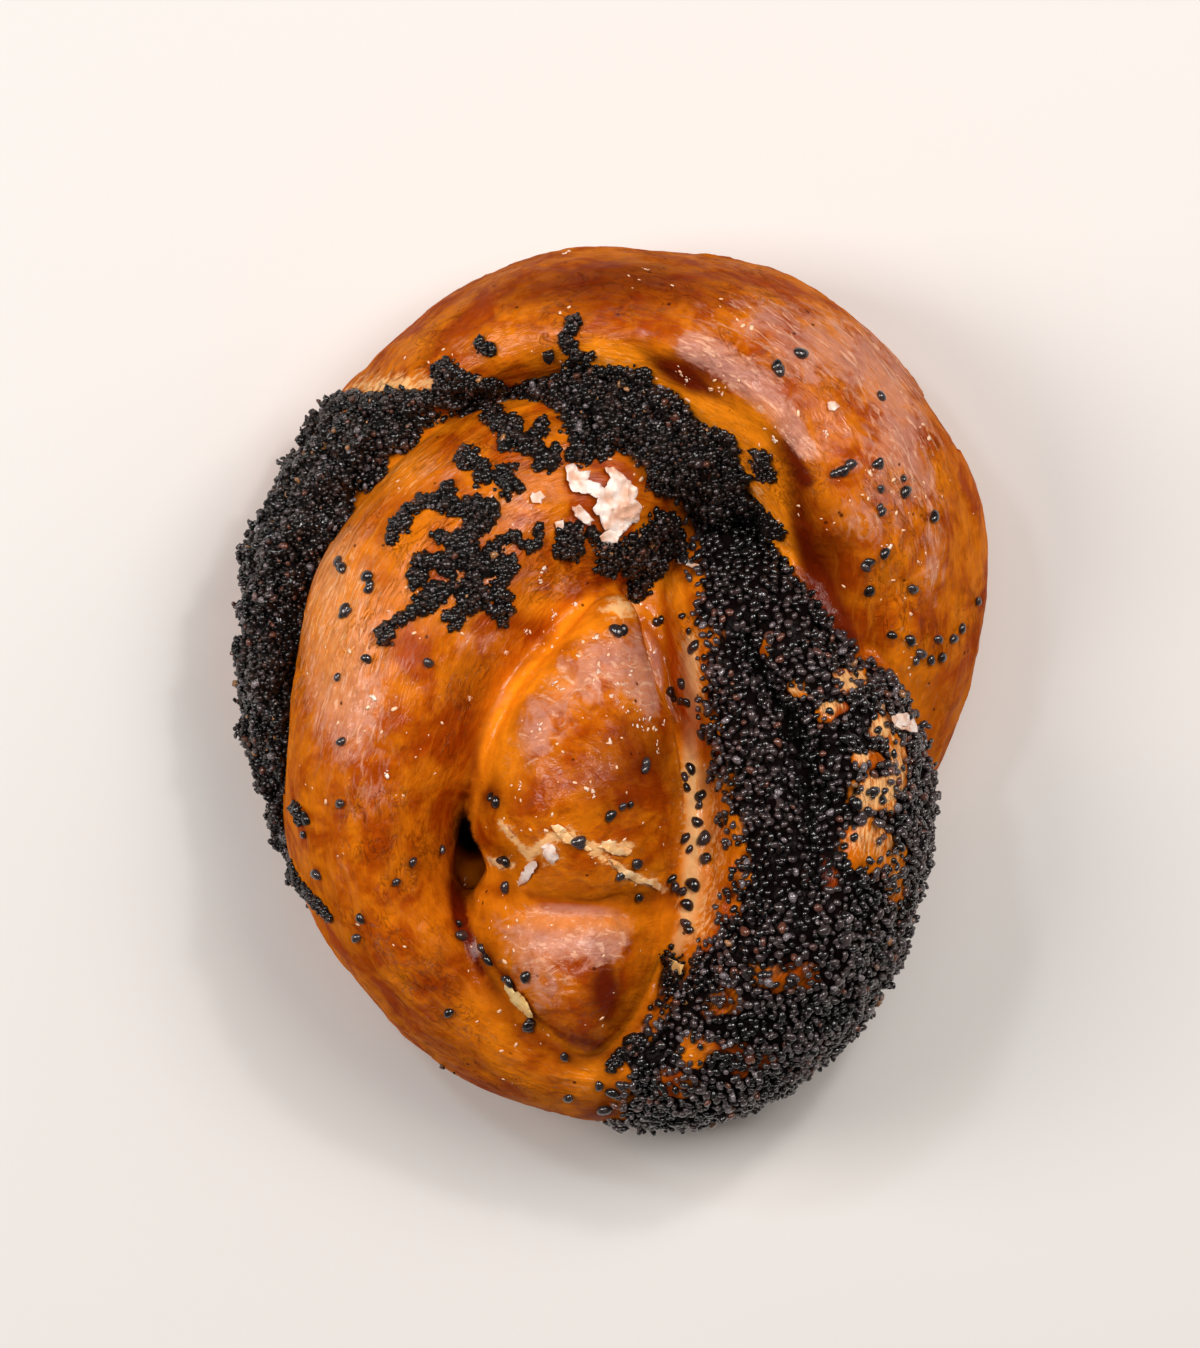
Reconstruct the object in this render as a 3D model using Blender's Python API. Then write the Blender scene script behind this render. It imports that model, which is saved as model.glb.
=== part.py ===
"""Poppy seed bun: a knotted roll of egg-washed dough with a layer of poppy filling.

Two dough strands are wound round a button of dough. The outer strand runs over the top of the
plan, with the filling on its inner face. The ring strand lies over it, bare on the left and
coated with seeds on the right. Seeds and flakes are fused to the dough they lie on. The bun lies
on its flat underside.

Frame: +Z up, +Y towards the top of the plan, origin on the tray under the middle of the bun.
Lengths below are in millimetres and angles in radians; MM turns them into Blender's metres.
"""

import math
import random

import bmesh
import bpy
from mathutils import Matrix, Vector, noise
from mathutils.bvhtree import BVHTree

MM = 0.001

# Driving dimensions
TRAY_CUT = -2.0  # how deep the strands reach below the tray before they are cut flat
CLEARANCE = 0.4  # air between the filling and the dough round it
SEED_LENGTH = 1.3
GRANULE_LENGTH = 2.0  # a few seeds stuck together in a clump
SWELLING = 0.9  # slow rise and fall of baked dough
SWELLING_SPAN = 13.0
COAT_RISE = 1.0  # how far the packed seeds stand over the dough under them
FILLING_RISE = 1.1
FLAKE_THICKNESS = 0.7
UPPER_FULLNESS = 2.1  # superellipse exponents: round above the widest line,
LOWER_FULLNESS = 2.5  # fuller where the dough was pressed on the tray
OUTER_LEAN = -3.0  # the outer strand's crest leans towards the middle of the bun

# Each strand is a list of stations along its middle line:
# (x, y, half width, height of its widest line, height of its crest, height of its underside)
OUTER_STRAND = (
    (20.0, -27.0, 7.5, 9.0, 14.0, TRAY_CUT),
    (24.2, -19.0, 8.5, 9.0, 17.0, TRAY_CUT),
    (31.2, -4.3, 12.0, 12.0, 26.0, TRAY_CUT),
    (34.3, 9.5, 12.4, 14.0, 34.0, TRAY_CUT),
    (33.6, 22.3, 12.8, 16.0, 40.0, TRAY_CUT),
    (24.9, 35.0, 12.7, 17.0, 43.0, TRAY_CUT),
    (15.4, 42.4, 11.2, 17.0, 43.0, TRAY_CUT),
    (2.3, 46.8, 8.6, 17.0, 41.0, TRAY_CUT),
    (-10.5, 46.0, 7.7, 16.0, 38.0, TRAY_CUT),
    (-22.5, 40.2, 6.0, 14.0, 32.0, TRAY_CUT),
    (-30.5, 30.6, 6.4, 11.0, 25.0, TRAY_CUT),
    (-36.4, 16.2, 7.0, 10.0, 22.0, TRAY_CUT),
    (-38.0, 3.4, 7.0, 10.0, 21.0, TRAY_CUT),
    (-36.2, -10.5, 6.2, 10.0, 20.0, TRAY_CUT),
    (-30.5, -22.5, 6.4, 10.0, 19.0, TRAY_CUT),
    (-21.6, -31.6, 6.8, 9.0, 18.0, TRAY_CUT),
)
RING_STRAND = (
    (11.0, 22.5, 7.0, 20.0, 29.0, 8.0),
    (3.5, 24.8, 11.0, 24.0, 36.0, 8.0),
    (-9.4, 22.8, 14.0, 26.0, 41.0, 8.0),
    (-20.9, 11.0, 15.0, 27.0, 45.0, 8.0),
    (-25.6, -1.8, 13.4, 26.0, 45.0, 7.0),
    (-28.9, -13.6, 11.2, 24.0, 42.0, 5.0),
    (-27.4, -26.0, 9.1, 20.0, 38.0, 2.0),
    (-19.4, -36.0, 9.2, 16.0, 34.0, TRAY_CUT),
    (-8.6, -42.8, 8.8, 14.0, 31.0, TRAY_CUT),
    (2.9, -45.3, 8.6, 14.0, 31.0, TRAY_CUT),
    (11.6, -42.0, 8.0, 14.0, 30.0, TRAY_CUT),
)
SEEDED_STRAND = (
    (-4.0, -44.2, 7.6, 14.0, 30.0, TRAY_CUT),
    (3.5, -45.2, 8.6, 14.0, 32.0, TRAY_CUT),
    (11.6, -42.7, 10.9, 15.0, 36.0, TRAY_CUT),
    (19.6, -34.3, 13.3, 17.0, 41.0, TRAY_CUT),
    (24.9, -21.1, 14.2, 19.0, 44.0, TRAY_CUT),
    (24.6, -8.0, 14.1, 21.0, 43.0, 2.0),
    (19.8, 4.5, 12.4, 21.0, 38.5, 6.0),
    (14.4, 14.5, 9.2, 19.0, 31.0, 8.0),
    (10.4, 21.4, 6.0, 16.0, 24.0, 8.0),
)
UPPER_BUTTON = (
    (1.6, 12.2, 1.8, 30.0, 35.0, 12.0),
    (-0.6, 5.0, 6.1, 30.0, 42.0, 12.0),
    (-2.4, -3.0, 10.9, 29.0, 47.5, 12.0),
    (-3.5, -11.8, 13.1, 28.0, 50.0, 12.0),
    (-3.4, -19.6, 12.6, 26.0, 48.0, 12.0),
    (-4.4, -24.6, 9.6, 26.0, 44.0, 12.0),
    (-4.8, -28.0, 5.0, 26.0, 38.0, 12.0),
)
LOWER_BUTTON = (
    (-5.0, -20.5, 6.0, 24.0, 35.0, 10.0),
    (-5.4, -25.4, 11.4, 24.0, 40.5, 10.0),
    (-4.6, -30.2, 12.3, 23.0, 43.5, 10.0),
    (-3.4, -36.0, 10.3, 22.0, 42.5, 10.0),
    (-2.4, -41.0, 7.2, 21.0, 39.5, 10.0),
    (-2.2, -45.8, 2.6, 20.0, 33.0, 10.0),
)
FILLING = (
    (26.0, 6.4, 2.5, 11.0, 15.0, 6.0),
    (23.4, 14.0, 4.2, 13.0, 20.0, 6.0),
    (19.5, 20.5, 5.8, 18.0, 28.0, 6.0),
    (15.3, 26.2, 6.8, 20.0, 35.0, 6.0),
    (8.6, 31.8, 7.6, 20.0, 39.0, 6.0),
    (0.5, 34.3, 6.6, 20.0, 38.5, 6.0),
    (-5.5, 36.3, 4.8, 20.0, 35.0, 6.0),
    (-11.5, 37.9, 3.6, 19.0, 31.0, 6.0),
    (-18.8, 36.6, 4.2, 18.0, 30.0, 6.0),
    (-26.4, 32.6, 5.4, 16.0, 29.0, 6.0),
    (-32.6, 26.6, 6.0, 15.0, 28.0, 6.0),
    (-37.9, 18.6, 6.0, 15.0, 28.0, 6.0),
    (-40.4, 9.6, 5.0, 15.0, 27.0, 6.0),
    (-41.4, 1.0, 4.4, 14.0, 26.0, 6.0),
    (-40.4, -8.6, 3.2, 14.0, 25.0, 6.0),
    (-38.2, -17.0, 2.8, 14.0, 23.0, 6.0),
    (-34.6, -24.6, 2.4, 13.0, 20.0, 6.0),
    (-31.0, -30.0, 1.8, 12.0, 17.0, 6.0),
)
CORE_CENTRE = (0.0, -1.0, 0.0)  # the dough that joins the strands underneath
CORE_RADII = (40.0, 48.0, 24.0)

# Lines pressed in the dough, or raised where the depth is negative: (width, depth, points)
PRESSED_LINES = (
    (2.2, 3.0, ((17.6, 5.0), (21.4, -2.1), (24.1, -6.8), (25.2, -11.8), (26.8, -16.8))),
    (1.8, 1.8, ((34.6, 12.6), (33.2, 7.0), (32.4, 2.0))),
    (3.2, 2.6, ((26.8, 14.0), (29.0, 9.4), (30.4, 5.0))),
    (2.4, 1.0, ((-4.2, -1.0), (-1.2, 6.4))),
    (2.0, -0.9, ((4.1, 43.9), (10.4, 42.0), (16.6, 38.9), (21.6, 32.6), (25.4, 25.1), (26.9, 20.1))),
    (2.4, 0.8, ((6.5, 39.2), (12.0, 37.2), (16.8, 31.6), (20.6, 25.0))),
)

# Patches of seeds on bare dough: (x, y, reach along X, reach along Y, count)
SEED_PATCHES = (
    (-31.9, 9.0, 2.4, 7.5, 6),
    (-30.0, -19.5, 6.5, 11.5, 9),
    (22.9, 41.0, 1.6, 1.2, 3),
    (35.2, 25.4, 5.4, 3.6, 8),
    (38.6, 9.6, 5.6, 6.4, 10),
    (-2.1, -15.5, 7.5, 6.5, 6),
    (2.0, 7.4, 0.8, 0.8, 1),
    (11.2, -8.0, 1.4, 8.0, 4),
)
CLUMP_PATCHES = (
    (-24.2, 22.2, 4.4, 2.4, 12),
    (-18.0, 16.0, 4.8, 6.2, 23),
    (-25.6, 8.6, 2.6, 1.5, 4),
    (-15.0, 27.6, 5.4, 2.2, 9),
    (-5.2, 19.2, 2.0, 2.0, 6),
    (6.4, 19.0, 4.6, 2.2, 10),
    (-5.6, 43.6, 1.6, 2.6, 5),
    (-14.8, 42.4, 2.0, 1.6, 4),
    (-19.4, 40.0, 1.6, 1.2, 3),
)

# Thin flakes: (x, y, reach along X, reach along Y, corners)
FLAKES = (
    (-0.9, 24.2, 4.3, 4.2, 15),
    (-9.0, 24.4, 1.1, 1.0, 7),
    (36.3, -4.0, 1.4, 1.1, 8),
)


def eased_rows(rows, count):
    """Rows of numbers at `count` even steps along a smooth curve through `rows`."""
    at = [0.0]
    for before, after in zip(rows, rows[1:]):
        at.append(at[-1] + math.dist(before[:2], after[:2]))
    slopes = []
    for i in range(len(rows)):
        low, high = max(i - 1, 0), min(i + 1, len(rows) - 1)
        span = at[high] - at[low]
        slopes.append([(b - a) / span for a, b in zip(rows[low], rows[high])])
    made, piece = [], 0
    for step in range(count):
        place = at[-1] * step / (count - 1)
        while piece < len(rows) - 2 and place > at[piece + 1]:
            piece += 1
        span = at[piece + 1] - at[piece]
        t = (place - at[piece]) / span
        weights = (
            (1 + 2 * t) * (1 - t) ** 2,
            t * (1 - t) ** 2 * span,
            t * t * (3 - 2 * t),
            t * t * (t - 1) * span,
        )
        parts = zip(rows[piece], slopes[piece], rows[piece + 1], slopes[piece + 1])
        made.append([sum(w * p for w, p in zip(weights, four)) for four in parts])
    return made


def section_point(angle, half_width, rise, drop, lean):
    """(across, up) of a strand's section at an angle from its outer side, over its widest line."""
    cosine, sine = math.cos(angle), math.sin(angle)
    power = 2.0 / (UPPER_FULLNESS if sine >= 0 else LOWER_FULLNESS)
    across = half_width * math.copysign(abs(cosine) ** power, cosine)
    up = abs(sine) ** power
    if sine < 0:
        return across, -drop * up
    return across + lean * up, rise * up


def strand_rings(rows, stations, angles, grow=0.0, lean=0.0):
    """Rings of points round a strand, with a rounded end at each end, and the two end points."""
    line = eased_rows(rows, stations)
    rings = []
    for i in range(1, stations - 1):
        x, y, half_width, widest, crest, underside = line[i]
        ahead, behind = line[i + 1], line[i - 1]
        along = Vector((ahead[0] - behind[0], ahead[1] - behind[1])).normalized()
        outward = Vector((along.y, -along.x))
        to_end = min(i, stations - 1 - i) / (0.06 * stations)
        rounding = math.sqrt(1 - (1 - min(to_end, 1.0)) ** 2)
        ring = []
        for angle in angles:
            across, up = section_point(
                angle,
                (half_width + grow) * rounding,
                (crest - widest + grow) * rounding,
                (widest - underside + grow) * rounding,
                lean * rounding,
            )
            ring.append(Vector((x + outward.x * across, y + outward.y * across, widest + up)))
        rings.append(ring)
    ends = []
    for tip, inner in ((line[0], line[1]), (line[-1], line[-2])):
        away = Vector((tip[0] - inner[0], tip[1] - inner[1], 0.0)).normalized()
        ends.append(Vector((tip[0], tip[1], tip[3])) + away * grow)
    return rings, ends


def angles_round(upper, lower):
    """Angles round a section, with `upper` steps over its widest line and `lower` under it."""
    over = [math.pi * i / upper for i in range(upper)]
    under = [math.pi * (1 + i / lower) for i in range(lower)]
    return over + under


def recalculate_normals(mesh):
    work = bmesh.new()
    work.from_mesh(mesh)
    bmesh.ops.recalc_face_normals(work, faces=work.faces)
    work.to_mesh(mesh)
    work.free()


def mesh_object(name, points, faces, material):
    """An object from points in millimetres."""
    mesh = bpy.data.meshes.new(name)
    mesh.from_pydata([p * MM for p in points], [], faces)
    mesh.materials.append(material)
    mesh.shade_smooth()
    recalculate_normals(mesh)
    obj = bpy.data.objects.new(name, mesh)
    bpy.context.scene.collection.objects.link(obj)
    return obj


def strand_object(name, rows, stations, angles, material, relief, grow=0.0, lean=0.0):
    """A closed tube along a strand, each point moved outward by relief(point, over)."""
    rings, ends = strand_rings(rows, stations, angles, grow, lean)
    around = len(angles)
    points = []
    for ring in rings:
        middle = sum(ring, Vector()) / around
        for p, angle in zip(ring, angles):
            points.append(p + (p - middle).normalized() * relief(p, angle < math.pi))
    first, last = len(points), len(points) + 1
    points += ends
    faces = []
    for i in range(len(rings) - 1):
        for j in range(around):
            k = (j + 1) % around
            low, high = i * around, (i + 1) * around
            faces.append((low + j, low + k, high + k, high + j))
    tail = (len(rings) - 1) * around
    for j in range(around):
        k = (j + 1) % around
        faces.append((first, k, j))
        faces.append((last, tail + j, tail + k))
    return mesh_object(name, points, faces, material)


def distance_to_line(point, line):
    """Distance in plan from a point to a line of points."""
    nearest = math.inf
    for start, end in zip(line, line[1:]):
        a, b, p = Vector(start), Vector(end), point.to_2d()
        t = max(0.0, min(1.0, (p - a).dot(b - a) / (b - a).length_squared))
        nearest = min(nearest, (p - a - (b - a) * t).length)
    return nearest


def swelling(point, over):
    """Slow rise and fall of baked dough."""
    return SWELLING * noise.noise(point / SWELLING_SPAN)


def dough_relief(point, over):
    """Swellings of the dough, and the lines pressed in it."""
    height = swelling(point, over)
    if over:
        for width, depth, line in PRESSED_LINES:
            height -= depth * math.exp(-((distance_to_line(point, line) / width) ** 2))
    return height


def coated_relief(rise, under):
    """Relief of packed seeds over another relief: each point stands at a height of its own."""

    def relief(point, over):
        grain = random.uniform(-0.4, 0.9) if over else 0.3
        return rise * grain + under(point, over)

    return relief


def core_object(material):
    """The low loaf of dough under the strands."""
    work = bmesh.new()
    bmesh.ops.create_uvsphere(work, u_segments=24, v_segments=8, radius=1.0)
    mesh = bpy.data.meshes.new("core")
    work.to_mesh(mesh)
    work.free()
    mesh.materials.append(material)
    obj = bpy.data.objects.new("core", mesh)
    for vertex in mesh.vertices:
        sizes = zip(CORE_CENTRE, CORE_RADII, vertex.co)
        vertex.co = Vector((c + r * v) * MM for c, r, v in sizes)
    bpy.context.scene.collection.objects.link(obj)
    return obj


def tray_cutter():
    """A block that takes away all that reaches below the tray."""
    depth, side = 30.0, 200.0
    work = bmesh.new()
    bmesh.ops.create_cube(work, size=1.0)
    bmesh.ops.scale(work, verts=work.verts, vec=(side * MM, side * MM, depth * MM))
    bmesh.ops.translate(work, verts=work.verts, vec=(0, 0, -depth * MM / 2))
    mesh = bpy.data.meshes.new("tray_cutter")
    work.to_mesh(mesh)
    work.free()
    cutter = bpy.data.objects.new("tray_cutter", mesh)
    bpy.context.scene.collection.objects.link(cutter)
    cutter.hide_render = True
    cutter.display_type = "WIRE"
    return cutter


def surface_of(obj):
    """The surface of an object, to find points on it."""
    return BVHTree.FromPolygons(
        [v.co.copy() for v in obj.data.vertices], [p.vertices[:] for p in obj.data.polygons]
    )


def top_of(surface, x, y):
    """(point, normal) of the surface's highest point over a place in plan, in metres."""
    point, normal, _, _ = surface.ray_cast(Vector((x * MM, y * MM, 0.1)), Vector((0, 0, -1)))
    return point, normal


def seed_object(point, normal, length, material):
    """A seed or granule sunk a third of its height into the dough."""
    work = bmesh.new()
    bmesh.ops.create_icosphere(work, subdivisions=1, radius=0.5)
    for vertex in work.verts:
        vertex.co = Vector((vertex.co.x * 0.85, vertex.co.y * 1.1, vertex.co.z * 0.85))
        vertex.co *= length * MM * random.uniform(0.9, 1.1)
    turn = normal.to_track_quat("Z", "Y").to_matrix()
    spin = Matrix.Rotation(random.uniform(0, math.tau), 3, "Z")
    bmesh.ops.rotate(work, verts=work.verts, cent=(0, 0, 0), matrix=turn @ spin)
    bmesh.ops.translate(work, verts=work.verts, vec=point + normal * length * 0.1 * MM)
    mesh = bpy.data.meshes.new("seed")
    work.to_mesh(mesh)
    work.free()
    mesh.materials.append(material)
    obj = bpy.data.objects.new("seed", mesh)
    bpy.context.scene.collection.objects.link(obj)
    return obj


def seeds_on(dough, filling, patches, length, apart, material):
    """Seeds scattered over patches of the dough, clear of the filling."""
    surface, kept_clear = surface_of(dough), surface_of(filling)
    made = []
    for x, y, reach_x, reach_y, count in patches:
        placed = []
        for _ in range(40 * count):
            angle, out = random.uniform(0, math.tau), math.sqrt(random.random())
            spot = (x + reach_x * out * math.cos(angle), y + reach_y * out * math.sin(angle))
            if any(math.dist(spot, other) < apart * length for other in placed):
                continue
            point, normal = top_of(surface, *spot)
            if point is None or kept_clear.find_nearest(point)[3] < (length + CLEARANCE) * MM:
                continue
            placed.append(spot)
            made.append(seed_object(point, normal, length, material))
            if len(placed) == count:
                break
    return made


def flake_object(dough, x, y, reach_x, reach_y, corners, material):
    """A thin flake with a ragged rim that follows the dough it lies on."""
    surface = surface_of(dough)
    spots = [(x, y)]
    for i in range(corners):
        angle, out = math.tau * i / corners, random.uniform(0.6, 1.0)
        spots.append((x + reach_x * out * math.cos(angle), y + reach_y * out * math.sin(angle)))
    points = []
    for lift in (FLAKE_THICKNESS, -FLAKE_THICKNESS):
        for spot in spots:
            point, normal = top_of(surface, *spot)
            points.append(point / MM + normal * lift)
    under = corners + 1
    faces = []
    for i in range(corners):
        a, b = 1 + i, 1 + (i + 1) % corners
        faces += [(0, a, b), (under, under + b, under + a), (a, under + a, under + b, b)]
    return mesh_object("flake", points, faces, material)


def material_of(name, colour, roughness):
    material = bpy.data.materials.new(name)
    material.use_nodes = True
    shader = material.node_tree.nodes["Principled BSDF"]
    shader.inputs["Base Color"].default_value = (*colour, 1.0)
    shader.inputs["Roughness"].default_value = roughness
    shader.inputs["Metallic"].default_value = 0.0
    material.diffuse_color = (*colour, 1.0)
    return material


def boolean(obj, operation, operands):
    """Joins or cuts `obj` with the operands at once, and removes them."""
    group = bpy.data.collections.new("operands")
    for other in operands:
        group.objects.link(other)
    modifier = obj.modifiers.new(operation.lower(), "BOOLEAN")
    modifier.operation = operation
    modifier.operand_type = "COLLECTION"
    modifier.collection = group
    modifier.solver = "EXACT"
    graph = bpy.context.evaluated_depsgraph_get()
    made = bpy.data.meshes.new_from_object(obj.evaluated_get(graph))
    obj.modifiers.remove(modifier)
    obj.data = made
    for other in list(group.objects):
        bpy.data.objects.remove(other)
    bpy.data.collections.remove(group)


def keep_largest_body(obj):
    """Drops the loose scraps that a cut leaves."""
    work = bmesh.new()
    work.from_mesh(obj.data)
    left = set(work.verts)
    bodies = []
    while left:
        body, front = set(), [left.pop()]
        while front:
            vertex = front.pop()
            body.add(vertex)
            for edge in vertex.link_edges:
                other = edge.other_vert(vertex)
                if other in left:
                    left.remove(other)
                    front.append(other)
        bodies.append(body)
    largest = max(bodies, key=len)
    scraps = [v for body in bodies if body is not largest for v in body]
    bmesh.ops.delete(work, geom=scraps, context="VERTS")
    work.to_mesh(obj.data)
    work.free()


def stand_on_origin(objects):
    """Moves the objects so that the middle of their box's underside is the origin."""
    points = [v.co for obj in objects for v in obj.data.vertices]
    lows = [min(p[axis] for p in points) for axis in range(3)]
    highs = [max(p[axis] for p in points) for axis in range(3)]
    shift = Vector((-(lows[0] + highs[0]) / 2, -(lows[1] + highs[1]) / 2, -lows[2]))
    for obj in objects:
        obj.data.transform(Matrix.Translation(shift))


def clear_scene():
    for obj in list(bpy.data.objects):
        bpy.data.objects.remove(obj)


def main():
    clear_scene()
    noise.seed_set(7)
    random.seed(7)
    crust = material_of("baked_dough", (0.62, 0.27, 0.06), 0.35)
    poppy = material_of("poppy_filling", (0.035, 0.026, 0.030), 0.55)

    smooth = angles_round(14, 5)
    seeded = angles_round(22, 5)
    round_button = angles_round(12, 4)
    dough = strand_object(
        "dough", OUTER_STRAND, 42, smooth, crust, dough_relief, lean=OUTER_LEAN
    )
    others = [
        strand_object("ring", RING_STRAND, 34, smooth, crust, dough_relief),
        strand_object(
            "seeded", SEEDED_STRAND, 46, seeded, crust, coated_relief(COAT_RISE, dough_relief)
        ),
        strand_object("upper", UPPER_BUTTON, 18, round_button, crust, dough_relief),
        strand_object("lower", LOWER_BUTTON, 14, round_button, crust, dough_relief),
        core_object(crust),
    ]
    around = angles_round(13, 3)
    filling = strand_object(
        "poppy_filling", FILLING, 66, around, poppy, coated_relief(FILLING_RISE, swelling)
    )
    room = strand_object(
        "room", FILLING, 44, around, poppy, swelling, grow=CLEARANCE + FILLING_RISE
    )
    boolean(dough, "UNION", others)

    toppings = seeds_on(dough, filling, SEED_PATCHES, SEED_LENGTH, 1.3, crust)
    toppings += seeds_on(dough, filling, CLUMP_PATCHES, GRANULE_LENGTH, 0.55, crust)
    toppings += [flake_object(dough, *flake, crust) for flake in FLAKES]
    boolean(dough, "UNION", toppings)
    boolean(dough, "DIFFERENCE", [room, tray_cutter()])
    keep_largest_body(dough)
    stand_on_origin((dough, filling))
    for obj in (dough, filling):
        obj.data.shade_smooth()
        obj.data.set_sharp_from_angle(angle=math.radians(38))


main()
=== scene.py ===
"""Poppy seed bun, dressed: crust, poppy filling, whole seeds, torn flakes, floor, light, camera."""

import math

import bmesh
import bpy
import numpy as np
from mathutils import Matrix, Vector, noise
from mathutils.bvhtree import BVHTree
from mathutils.geometry import delaunay_2d_cdt
from mathutils.kdtree import KDTree


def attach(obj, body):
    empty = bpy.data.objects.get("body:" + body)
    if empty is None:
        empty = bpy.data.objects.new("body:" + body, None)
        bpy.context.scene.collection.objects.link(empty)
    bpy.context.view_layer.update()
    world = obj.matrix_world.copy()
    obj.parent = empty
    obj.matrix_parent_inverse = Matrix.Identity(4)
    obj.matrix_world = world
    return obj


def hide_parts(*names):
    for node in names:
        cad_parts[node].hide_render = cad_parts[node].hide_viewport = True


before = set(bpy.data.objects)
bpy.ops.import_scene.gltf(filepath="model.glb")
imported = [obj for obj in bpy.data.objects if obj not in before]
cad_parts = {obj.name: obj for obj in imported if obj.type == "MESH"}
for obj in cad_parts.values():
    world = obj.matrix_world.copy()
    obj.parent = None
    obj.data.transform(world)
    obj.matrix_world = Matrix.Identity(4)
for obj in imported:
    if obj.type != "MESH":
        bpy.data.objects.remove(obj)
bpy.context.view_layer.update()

# Lengths are in mm, and points in the plan of the stations, unless a comment says otherwise
MM = 0.001
PLAN_SHIFT = np.array((-0.644, -0.416, 0.0))  # from the plan of the stations to the record's frame
rng = np.random.default_rng(11)

# The photo's frame in pixels, and the camera straight over its middle
FRAME_WIDTH, FRAME_HEIGHT = 1200, 1348
PX_PER_MM = 8
LEVEL = 16.0  # height at which that scale holds
ORIGIN_X, ORIGIN_Y = 607, 691  # pixel over the plan's origin
EYE = Vector(((FRAME_WIDTH / 2 - ORIGIN_X) / PX_PER_MM, (ORIGIN_Y - FRAME_HEIGHT / 2) / PX_PER_MM, 1100.0))

# The hole between the lobe and the lower button, in plan and in pixels; painted shade darkens it
HOLE = (-17.6, -18.0)
HOLE_PX = (472, 832)

VOXEL = 0.6  # grid on which the strands grow together
STATION_GAP = 0.9  # between the rings of points along a strand
MIN_STATIONS = 30
AROUND = 96  # points around a strand
ROUND_TOP, ROUND_FOOT = 2.1, 2.5  # exponents of a strand's section above and below its widest line
END_SHARE = 0.06  # share of the stations over which an end is rounded
CORE_REACH, CORE_MIDDLE = (40, 48, 24), (0, -1, 0)  # ball of dough that fills the inside
FAR = 12.0  # a seam is looked for up to here
NO_SEAM = 99.0
SEAM_FLOOR = 8.0  # and only above this height


def level_under(under, *rows):
    """Stations of a strand whose underside stays at one height."""
    return tuple((*row, under) for row in rows)


def pairs(numbers):
    """Flat numbers as rows of x and y."""
    return np.reshape(numbers, (-1, 2)).astype(float)


# The strands as in the solids:
# x, y, half width, height of widest line, of crest and of underside, which goes first where it is level
CUT = -2.0  # below the tray, where the dough is cut off flat
OUTER = level_under(
    CUT, (20, -27, 7.5, 9, 14), (24.2, -19, 8.5, 9, 17), (31.2, -4.3, 12, 12, 26),
    (34.3, 9.5, 12.4, 14, 34), (33.6, 22.3, 12.8, 16, 40), (24.9, 35, 12.7, 17, 43),
    (15.4, 42.4, 11.2, 17, 43), (2.3, 46.8, 8.6, 17, 41), (-10.5, 46, 7.7, 16, 38),
    (-22.5, 40.2, 6, 14, 32), (-30.5, 30.6, 6.4, 11, 25), (-36.4, 16.2, 7, 10, 22), (-38, 3.4, 7, 10, 21),
    (-36.2, -10.5, 6.2, 10, 20), (-30.5, -22.5, 6.4, 10, 19), (-21.6, -31.6, 6.8, 9, 18),
)
RING = (
    (11, 22.5, 7, 20, 29, 8), (3.5, 24.8, 11, 24, 36, 8), (-9.4, 22.8, 14, 26, 41, 8),
    (-20.9, 11, 15, 27, 45, 8), (-25.6, -1.8, 13.4, 26, 45, 7), (-28.9, -13.6, 11.2, 24, 42, 5),
    (-27.4, -26, 9.1, 20, 38, 2), (-19.4, -36, 9.2, 16, 34, CUT), (-8.6, -42.8, 8.8, 14, 31, CUT),
    (2.9, -45.3, 8.6, 14, 31, CUT), (11.6, -42, 8, 14, 30, CUT),
)
SEEDED = (
    (-4, -44.2, 7.6, 14, 30, CUT), (3.5, -45.2, 8.6, 14, 32, CUT), (11.6, -42.7, 10.9, 15, 36, CUT),
    (19.6, -34.3, 13.3, 17, 41, CUT), (24.9, -21.1, 14.2, 19, 44, CUT), (24.6, -8, 14.1, 21, 43, 2),
    (19.8, 4.5, 12.4, 21, 38.5, 6), (14.4, 14.5, 9.2, 19, 31, 8), (10.4, 21.4, 6, 16, 24, 8),
)
UPPER = level_under(
    12, (1.6, 12.2, 1.8, 30, 35), (-0.6, 5, 6.1, 30, 42), (-2.4, -3, 10.9, 29, 47.5),
    (-3.5, -11.8, 13.1, 28, 50), (-3.4, -19.6, 12.6, 26, 48), (-4.4, -24.6, 9.6, 26, 44),
    (-4.8, -28, 5, 26, 38),
)
LOWER = level_under(
    10, (-5, -20.5, 6, 24, 35), (-5.4, -25.4, 11.4, 24, 40.5), (-4.6, -30.2, 12.3, 23, 43.5),
    (-3.4, -36, 10.3, 22, 42.5), (-2.4, -41, 7.2, 21, 39.5), (-2.2, -45.8, 2.6, 20, 33),
)
FILLING = level_under(
    6, (26, 6.4, 2.5, 11, 15), (23.4, 14, 4.2, 13, 20), (19.5, 20.5, 5.8, 18, 28),
    (15.3, 26.2, 6.8, 20, 35), (8.6, 31.8, 7.6, 20, 39), (0.5, 34.3, 6.6, 20, 38.5),
    (-5.5, 36.3, 4.8, 20, 35), (-11.5, 37.9, 3.6, 19, 31), (-18.8, 36.6, 4.2, 18, 30),
    (-26.4, 32.6, 5.4, 16, 29), (-32.6, 26.6, 6, 15, 28), (-37.9, 18.6, 6, 15, 28), (-40.4, 9.6, 5, 15, 27),
    (-41.4, 1, 4.4, 14, 26), (-40.4, -8.6, 3.2, 14, 25), (-38.2, -17, 2.8, 14, 23),
    (-34.6, -24.6, 2.4, 13, 20), (-31, -30, 1.8, 12, 17),
)
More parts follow.
